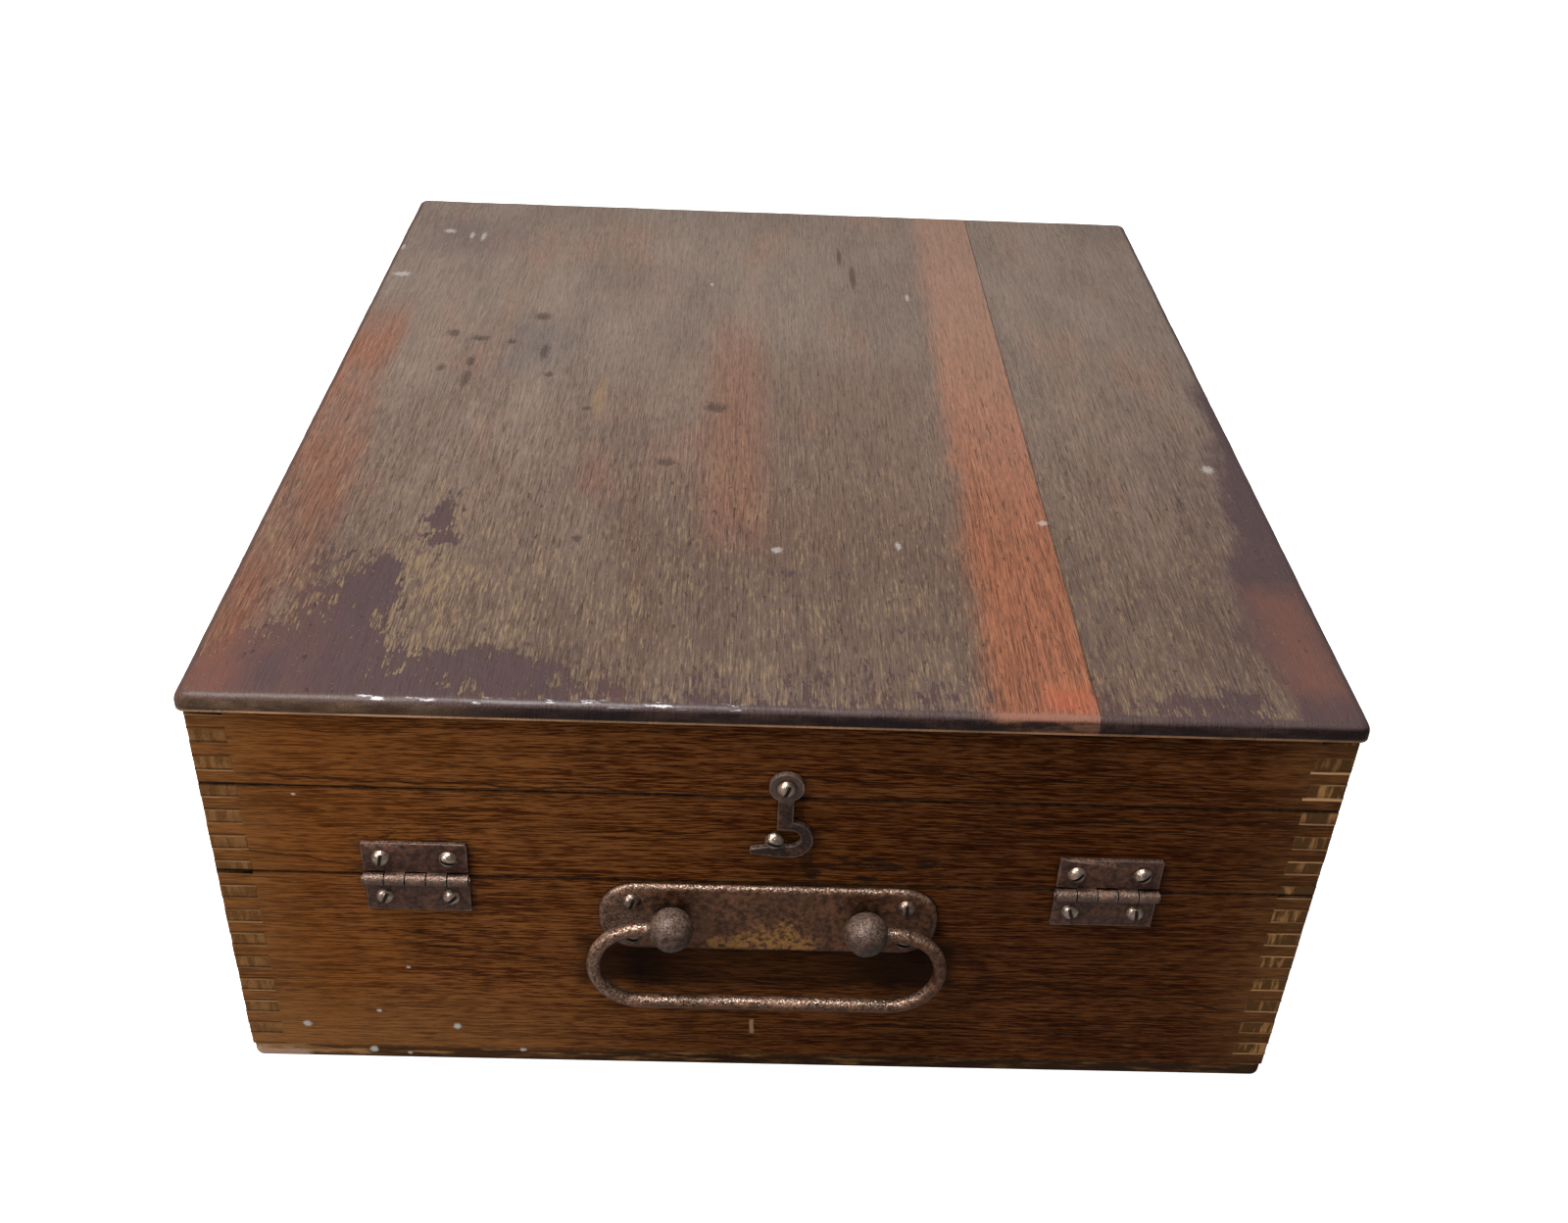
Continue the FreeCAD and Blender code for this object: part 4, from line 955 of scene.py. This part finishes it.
def tin_finish(iron):
    """Dull tinned sheet with soft blotches and a few rust stains."""
    material, tree, shader = new_finish("dull_tin")
    place = place_of(tree)
    rust = use(tree, shared("rust"), Vector=place, Scale=40, Amount=0.3)
    bloom = add(tree, "ShaderNodeTexVoronoi", {"Vector": place, "Scale": 70.0, "Randomness": 1.0}, 1)
    leaf = add(tree, "ShaderNodeRGBToBW", {0: bloom})
    skin = mixed(tree, leaf, scaled(iron.tin, 0.76), iron.tin)
    skin = laid(tree, skin, iron.rust, rust["Blotches"], 0.55)
    # Dirt with painted shade in the corners of the liners
    shade_and_dirt = shade_and_dirt_in(tree, place, 0.010)
    skin = laid(tree, skin, (0.05, 0.04, 0.03), shade_and_dirt, 0.6)
    metal = minus(tree, 0.9, times(tree, rust["Blotches"], 0.7))
    dull = plus(tree, 0.34, times(tree, leaf, 0.16))
    feed(tree, shader.inputs, Base_Color=skin, Metallic=metal, Roughness=dull)
    bumped(tree, shader, rust["Mottle"], 0.00015)
    return material


def floor_finish(studio):
    """Pale studio paper with a faint tooth, which throws back less light than the lens sees."""
    material, tree, shader = new_finish("pale_floor")
    tooth = noise_field(tree, place_of(tree), 60, 4)
    paper = mixed(tree, tooth, scaled(studio.floor, 0.985), studio.floor)
    seen = add(tree, "ShaderNodeLightPath", out="Is Camera Ray")
    paper = mixed(tree, seen, scaled(studio.floor, studio.bounce), paper)
    glow = mixed(tree, seen, (0, 0, 0), (1, 1, 1))
    feed(tree, shader.inputs, Base_Color=paper, Roughness=0.9, Specular_IOR_Level=0.0)
    feed(tree, shader.inputs, Emission_Color=glow, Emission_Strength=1.0)
    return material


def finish_named(name):
    """A finish by name, made the first time it is asked for."""
    wood, iron, studio = of_scene()
    makers = {
        "stained_wall_x": lambda: wall_finish(wood, "X"),
        "stained_wall_y": lambda: wall_finish(wood, "Y"),
        "worn_top": lambda: top_finish(wood),
        "inside_board_x": lambda: plain_wood_finish(wood, "inside_board_x", "X", 1.0),
        "inside_board_y": lambda: plain_wood_finish(wood, "inside_board_y", "Y", 0.9),
        "rusty_forged_iron": lambda: iron_finish(
            iron, "rusty_forged_iron", iron.handle, 0.5, 150, 0.75, "handle"
        ),
        "rusty_sheet_iron": lambda: iron_finish(iron, "rusty_sheet_iron", iron.hinge, 0.46, 190, 0.6, "hinge"),
        "rusty_hook_iron": lambda: iron_finish(iron, "rusty_hook_iron", iron.hook, 0.46, 190, 0.4, "hook"),
        "worn_screw_steel": lambda: screw_finish(iron),
        "dull_tin": lambda: tin_finish(iron),
        "pale_floor": lambda: floor_finish(studio),
    }
    return bpy.data.materials.get(name) or makers[name]()


# Shapes


def body_of(node):
    """The CAD body that a node belongs to."""
    return frame["nodes"][node]["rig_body"]


def paint(mesh, finish):
    """Gives a mesh one finish."""
    mesh.materials.clear()
    mesh.materials.append(finish_named(finish))


def as_mesh(name, shape):
    """A mesh from a shape that is then done with."""
    mesh = bpy.data.meshes.new(name)
    shape.to_mesh(mesh)
    shape.free()
    return mesh


def stand_in(name, mesh, node, finish):
    """Puts a finished mesh in the place of a CAD node."""
    piece = bpy.data.objects.new(name, mesh)
    bpy.context.scene.collection.objects.link(piece)
    paint(mesh, finish)
    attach(piece, body_of(node))
    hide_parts(node)
    return piece


def cad_copy(node):
    """A welded copy of a CAD node with its flat faces made whole."""
    shape = bmesh.new()
    shape.from_mesh(frame["nodes"][node].data)
    bmesh.ops.remove_doubles(shape, verts=shape.verts, dist=2e-6)
    bmesh.ops.dissolve_limit(shape, angle_limit=math.radians(0.6), verts=shape.verts, edges=shape.edges)
    return shape


def draw(place, low, high):
    """A steady pseudo-random number between low and high for a place in metres."""
    return low + (high - low) * noise.cell(Vector(place) * 1013 + Vector((3.3, 5.7, 9.1)))


def eased(name, node, finish, ease, segments=3):
    """A board or fitting with its sharp outer edges rounded; ease gives the rounding of an edge in metres."""
    shape = cad_copy(node)
    wanted = []
    for edge in shape.edges:
        sharp = len(edge.link_faces) == 2 and edge.is_convex and edge.calc_face_angle() > math.radians(35)
        middle = (edge.verts[0].co + edge.verts[1].co) / 2
        run = (edge.verts[1].co - edge.verts[0].co).normalized()
        wanted.append(ease(middle, run, edge.calc_length()) if sharp else 0.0)
    widest = max(wanted) or 1.0
    weights = shape.edges.layers.float.new("bevel_weight_edge")
    for edge, rounding in zip(shape.edges, wanted):
        edge[weights] = rounding / widest
        if rounding == 0 and len(edge.link_faces) == 2 and edge.calc_face_angle() > math.radians(28):
            edge.smooth = False
    for face in shape.faces:
        face.smooth = True
    piece = stand_in(name, as_mesh(name, shape), node, finish)
    bevel = piece.modifiers.new("eased_edges", "BEVEL")
    bevel.limit_method = "WEIGHT"
    bevel.width = widest
    bevel.segments = segments
    bevel.use_clamp_overlap = False
    even = piece.modifiers.new("even_shading", "WEIGHTED_NORMAL")
    even.weight = 100
    even.keep_sharp = True
    return piece


def wall_ease(wood):
    """Rounding of a wall board's edges by where they lie."""
    case_low, case_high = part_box("base_front_board")
    half_width, half_depth = case_high.x, -case_low.y
    seam_heights = [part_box(tier + "_front_board")[end].z for tier in TIERS for end in (0, 1)]

    def ease(middle, run, size):
        at_side = abs(abs(middle.x) - half_width) < 2e-5
        at_face = abs(abs(middle.y) - half_depth) < 2e-5
        if abs(run.z) > 0.9 and at_side and at_face:
            low_down = max(0.0, 1 - middle.z / 0.02)
            sway = 0.5 + 0.5 * noise.noise(middle * 70)
            return wood.corner_wear * min(1.0, 0.35 + 0.3 * sway + draw(middle, 0.0, 0.2) + 0.4 * low_down)
        if size < 0.0024:
            return 0.0
        if min(abs(middle.z - height) for height in seam_heights) < 2e-5:
            return wood.seam_ease * draw(middle, 0.7, 1.0)
        if at_side or at_face:
            return wood.finger_ease * draw(middle, 0.3, 1.0)
        return wood.finger_ease * 0.5

    return ease


def rounded_slab(low, high, spacing, rounding, open_sides):
    """A closed slab of quads with rounded outer edges; open_sides stay square where the next board joins."""
    low, high = Vector(low), Vector(high)
    near_edge = (0.0, 0.3, 0.8, 1.5, 2.4, 3.4, 4.6)

    def cuts(axis):
        start, end = low[axis], high[axis]
        rim = [d * MM for d in near_edge]
        count = max(1, round((end - start - 2 * rim[-1]) / spacing))
        inner = [start + rim[-1] + (end - start - 2 * rim[-1]) * i / count for i in range(1, count)]
        return [start + d for d in rim] + inner + [end - d for d in reversed(rim)]

    xs, ys = cuts(0), cuts(1)
    zs = [low.z + d * MM for d in (0.0, 0.2, 0.6)] + [high.z - d * MM for d in reversed(near_edge)]
    shape = bmesh.new()
    made = {}

    def corner(i, j, k):
        if (i, j, k) not in made:
            made[i, j, k] = shape.verts.new(
                eased_point(Vector((xs[i], ys[j], zs[k])), low, high, rounding, open_sides)
            )
        return made[i, j, k]

    def sheet(first, second, at):
        for a in range(first - 1):
            for b in range(second - 1):
                square = (a, b), (a + 1, b), (a + 1, b + 1), (a, b + 1)
                shape.faces.new([corner(*at(*pair)) for pair in square])

    nx, ny, nz = len(xs), len(ys), len(zs)
    sheet(nx, ny, lambda a, b: (a, b, nz - 1))
    sheet(ny, nx, lambda a, b: (b, a, 0))
    sheet(nx, nz, lambda a, b: (a, 0, b))
    sheet(nz, nx, lambda a, b: (b, ny - 1, a))
    sheet(nz, ny, lambda a, b: (0, b, a))
    sheet(ny, nz, lambda a, b: (nx - 1, a, b))
    for face in shape.faces:
        face.smooth = True
    return shape


def eased_point(point, low, high, rounding, open_sides):
    """A point of a box moved onto its rounded upright and upper edges, which are worn unevenly."""
    broad = noise.noise(Vector((point.x * 55, point.y * 55, 2.0)))
    fine = noise.noise(Vector((point.x * 210, point.y * 210, 7.0)))
    sway = broad + 0.5 * fine
    radius = rounding * (0.90 + 0.10 * min(1.0, max(-1.0, sway)))
    core = Vector(point)
    for axis, name in ((0, "x"), (1, "y")):
        least = low[axis] + (0 if "-" + name in open_sides else radius)
        most = high[axis] - (0 if "+" + name in open_sides else radius)
        core[axis] = min(max(point[axis], least), most)
    core.z = min(point.z, high.z - radius)
    out = point - core
    return core + out.normalized() * min(radius, out.length) if out.length > 0 else core


def top_board(name, node, wood, open_sides):
    """One board of the top with worn edges, dents and a slightly uneven surface."""
    low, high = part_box(node)
    shape = rounded_slab(low, high, 2.2 * MM, wood.top_rounding, open_sides)
    for vert in shape.verts:
        height = vert.co.z - (high.z - 1.2 * MM)
        if height <= 0:
            continue
        share = height / (1.2 * MM)
        here = Vector((vert.co.x * 42, vert.co.y * 9, 1.0))
        sink = 0.09 * MM * (1 + noise.noise(here))
        for (x, y), (across, along) in TOP_DENTS:
            reach = ((vert.co.x / MM - x) / (across + 1.2)) ** 2 + ((vert.co.y / MM - y) / (along + 1.2)) ** 2
            if reach < 6:
                sink += wood.dent_depth * 0.6 * math.exp(-1.6 * reach)
        vert.co.z -= min(sink, wood.dent_depth) * share
    return stand_in(name, as_mesh(name, shape), node, "worn_top")


def forged(name, node, amount, scale, voxel=None):
    """A handle piece with the uneven surface of hammered iron."""
    mesh = as_mesh(name, cad_copy(node))
    if voxel:
        mesh = remeshed(mesh, voxel)
    shape = bmesh.new()
    shape.from_mesh(mesh)
    if voxel:
        for _ in range(3):
            bmesh.ops.smooth_vert(
                shape, verts=shape.verts, factor=0.5, use_axis_x=True, use_axis_y=True, use_axis_z=True
            )
    shape.normal_update()
    moves = []
    for vert in shape.verts:
        broad = noise.noise(vert.co * scale)
        fine = noise.noise(vert.co * scale * 3.7 + Vector((4.0, 1.0, 7.0)))
        moves.append(vert.normal * amount * (0.7 * broad + 0.3 * fine - 0.6))
    for vert, move in zip(shape.verts, moves):
        vert.co += move
    for face in shape.faces:
        face.smooth = True
    shape.to_mesh(mesh)
    shape.free()
    return stand_in(name, mesh, node, "rusty_forged_iron")


def remeshed(mesh, voxel):
    """The mesh rebuilt in even small faces."""
    holder = bpy.data.objects.new("remesh_holder", mesh)
    bpy.context.scene.collection.objects.link(holder)
    change = holder.modifiers.new("even_faces", "REMESH")
    change.mode = "VOXEL"
    change.voxel_size = voxel
    graph = bpy.context.evaluated_depsgraph_get()
    result = bpy.data.meshes.new_from_object(holder.evaluated_get(graph))
    bpy.data.objects.remove(holder)
    return result


# Operators


class CADDY_OT_case_boards(Operator):
    """Make the stained wall boards of all three tiers and the bottom board"""

    bl_idname = "caddy.case_boards"
    bl_label = "Case boards"

    def execute(self, context):
        wood = context.scene.caddy_wood
        ease = wall_ease(wood)
        for tier in TIERS:
            for side in SIDES:
                node = f"{tier}_{side}_board"
                finish = "stained_wall_x" if side in ("front", "rear") else "stained_wall_y"
                eased("worn_" + node, node, finish, ease)
        paint(frame["nodes"]["bottom_board"].data, "stained_wall_x")
        return {"FINISHED"}


class CADDY_OT_top_boards(Operator):
    """Make the two worn boards of the top"""

    bl_idname = "caddy.top_boards"
    bl_label = "Top boards"

    def execute(self, context):
        wood = context.scene.caddy_wood
        top_board("worn_top_board_left", "top_board_left", wood, ("+x",))
        top_board("worn_top_board_right", "top_board_right", wood, ("-x",))
        return {"FINISHED"}


class CADDY_OT_inside(Operator):
    """Make the tray floor, the divider and the tinned liners"""

    bl_idname = "caddy.inside"
    bl_label = "Inside"

    def execute(self, context):
        wood = context.scene.caddy_wood

        def ease(middle, run, size):
            return wood.board_ease

        eased("planed_tray_floor", "tray_floor", "inside_board_x", ease)
        eased("planed_base_divider", "base_divider", "inside_board_y", ease)
        for side in ("left", "right"):
            paint(frame["nodes"]["tea_liner_" + side].data, "dull_tin")
        return {"FINISHED"}


class CADDY_OT_hinges(Operator):
    """Make the four butt hinges and the two hooks with eased edges"""

    bl_idname = "caddy.hinges"
    bl_label = "Hinges and hooks"

    def execute(self, context):
        iron = context.scene.caddy_iron

        def ease(middle, run, size):
            return iron.leaf_ease if size > 0.0009 else 0.0

        for face in ("front", "rear"):
            for side in ("left", "right"):
                for piece in ("lower_leaf", "upper_leaf", "pin"):
                    node = f"{face}_hinge_{side}_{piece}"
                    eased("rusty_" + node, node, "rusty_sheet_iron", ease, 2)
            eased(f"rusty_{face}_hook", face + "_hook", "rusty_hook_iron", ease, 2)
        return {"FINISHED"}


class CADDY_OT_screws(Operator):
    """Give the round-head screws their worn steel"""

    bl_idname = "caddy.screws"
    bl_label = "Screws"

    def execute(self, context):
        for name, node in frame["nodes"].items():
            if name.endswith(("_screw", "_screws")):
                paint(node.data, "worn_screw_steel")
        return {"FINISHED"}


class CADDY_OT_handle(Operator):
    """Make the hammered plate, balls and bail of the handle"""

    bl_idname = "caddy.handle"
    bl_label = "Handle"

    def execute(self, context):
        amount = context.scene.caddy_iron.forging
        forged("forged_handle_plate", "handle_plate", amount * 0.6, 160, 0.4 * MM)
        forged("forged_ball_left", "handle_boss_left", amount, 230)
        forged("forged_ball_right", "handle_boss_right", amount, 230)
        forged("forged_bail", "bail_handle", amount * 0.5, 170)
        return {"FINISHED"}


class CADDY_OT_studio(Operator):
    """Lay the pale floor, hang the lights and set the camera"""

    bl_idname = "caddy.studio"
    bl_label = "Studio"

    def execute(self, context):
        scene = context.scene
        studio = scene.caddy_studio
        sheet = bmesh.new()
        bmesh.ops.create_grid(sheet, x_segments=8, y_segments=8, size=6)
        floor = bpy.data.objects.new("studio_floor", as_mesh("studio_floor", sheet))
        scene.collection.objects.link(floor)
        paint(floor.data, "pale_floor")

        world = bpy.data.worlds.new("studio_surround")
        world.use_nodes = True
        sky = world.node_tree.nodes["Background"].inputs
        sky["Color"].default_value = (1, 1, 1, 1)
        seen = add(world.node_tree, "ShaderNodeLightPath", out="Is Camera Ray")
        world.node_tree.links.new(ranged(world.node_tree, seen, 0, 1, studio.surround, 1), sky["Strength"])
        scene.world = world
        scene.view_settings.view_transform = "Standard"

        self.hang("left_light", studio.key_power, (0.22, 0.22), (-0.95, -0.75, 0.75), (0.0, -0.18, 0.08))
        self.hang("upper_light", studio.over_power, (0.6, 0.6), (-0.4, -0.35, 1.35), (0, -0.05, 0.1))

        camera = bpy.data.objects.new("front_camera", bpy.data.cameras.new("front_camera"))
        scene.collection.objects.link(camera)
        camera.data.sensor_fit = "HORIZONTAL"
        camera.data.sensor_width = 36
        camera.data.lens = studio.lens
        camera.data.clip_start = 0.01
        right, up = Vector(CAMERA_RIGHT), Vector(CAMERA_UP)
        turn = Matrix((right, up, right.cross(up))).transposed()
        camera.matrix_world = Matrix.LocRotScale(Vector(CAMERA_PLACE), turn.to_quaternion(), None)
        scene.camera = camera
        return {"FINISHED"}

    def hang(self, name, power, size, place, target):
        """Hangs one soft rectangular light that looks at a target."""
        light = bpy.data.lights.new(name, "AREA")
        light.shape = "RECTANGLE"
        light.size, light.size_y = size
        light.energy = power
        lamp = bpy.data.objects.new(name, light)
        lamp.location = place
        lamp.rotation_euler = (Vector(target) - Vector(place)).to_track_quat("-Z", "Y").to_euler()
        bpy.context.scene.collection.objects.link(lamp)


class CADDY_PT_sidebar(Panel):
    """Settings and steps of the tea caddy"""

    bl_label = "Tea caddy"
    bl_idname = "CADDY_PT_sidebar"
    bl_space_type = "VIEW_3D"
    bl_region_type = "UI"
    bl_category = "Caddy"

    def draw(self, context):
        for group in of_scene():
            box = self.layout.box()
            for name in group.__annotations__:
                box.prop(group, name)
        for step in STEPS:
            self.layout.operator(step.bl_idname)


STEPS = (
    CADDY_OT_case_boards, CADDY_OT_top_boards, CADDY_OT_inside, CADDY_OT_hinges,
    CADDY_OT_screws, CADDY_OT_handle, CADDY_OT_studio,
)
CLASSES = (CaddyWood, CaddyIron, CaddyStudio, *STEPS, CADDY_PT_sidebar)


def register():
    for kind in CLASSES:
        bpy.utils.register_class(kind)
    bpy.types.Scene.caddy_wood = PointerProperty(type=CaddyWood)
    bpy.types.Scene.caddy_iron = PointerProperty(type=CaddyIron)
    bpy.types.Scene.caddy_studio = PointerProperty(type=CaddyStudio)


def unregister():
    del bpy.types.Scene.caddy_wood, bpy.types.Scene.caddy_iron, bpy.types.Scene.caddy_studio
    for kind in reversed(CLASSES):
        bpy.utils.unregister_class(kind)


def main():
    register()
    bpy.ops.caddy.case_boards()
    bpy.ops.caddy.top_boards()
    bpy.ops.caddy.inside()
    bpy.ops.caddy.hinges()
    bpy.ops.caddy.screws()
    bpy.ops.caddy.handle()
    bpy.ops.caddy.studio()


if __name__ == "__main__":
    main()
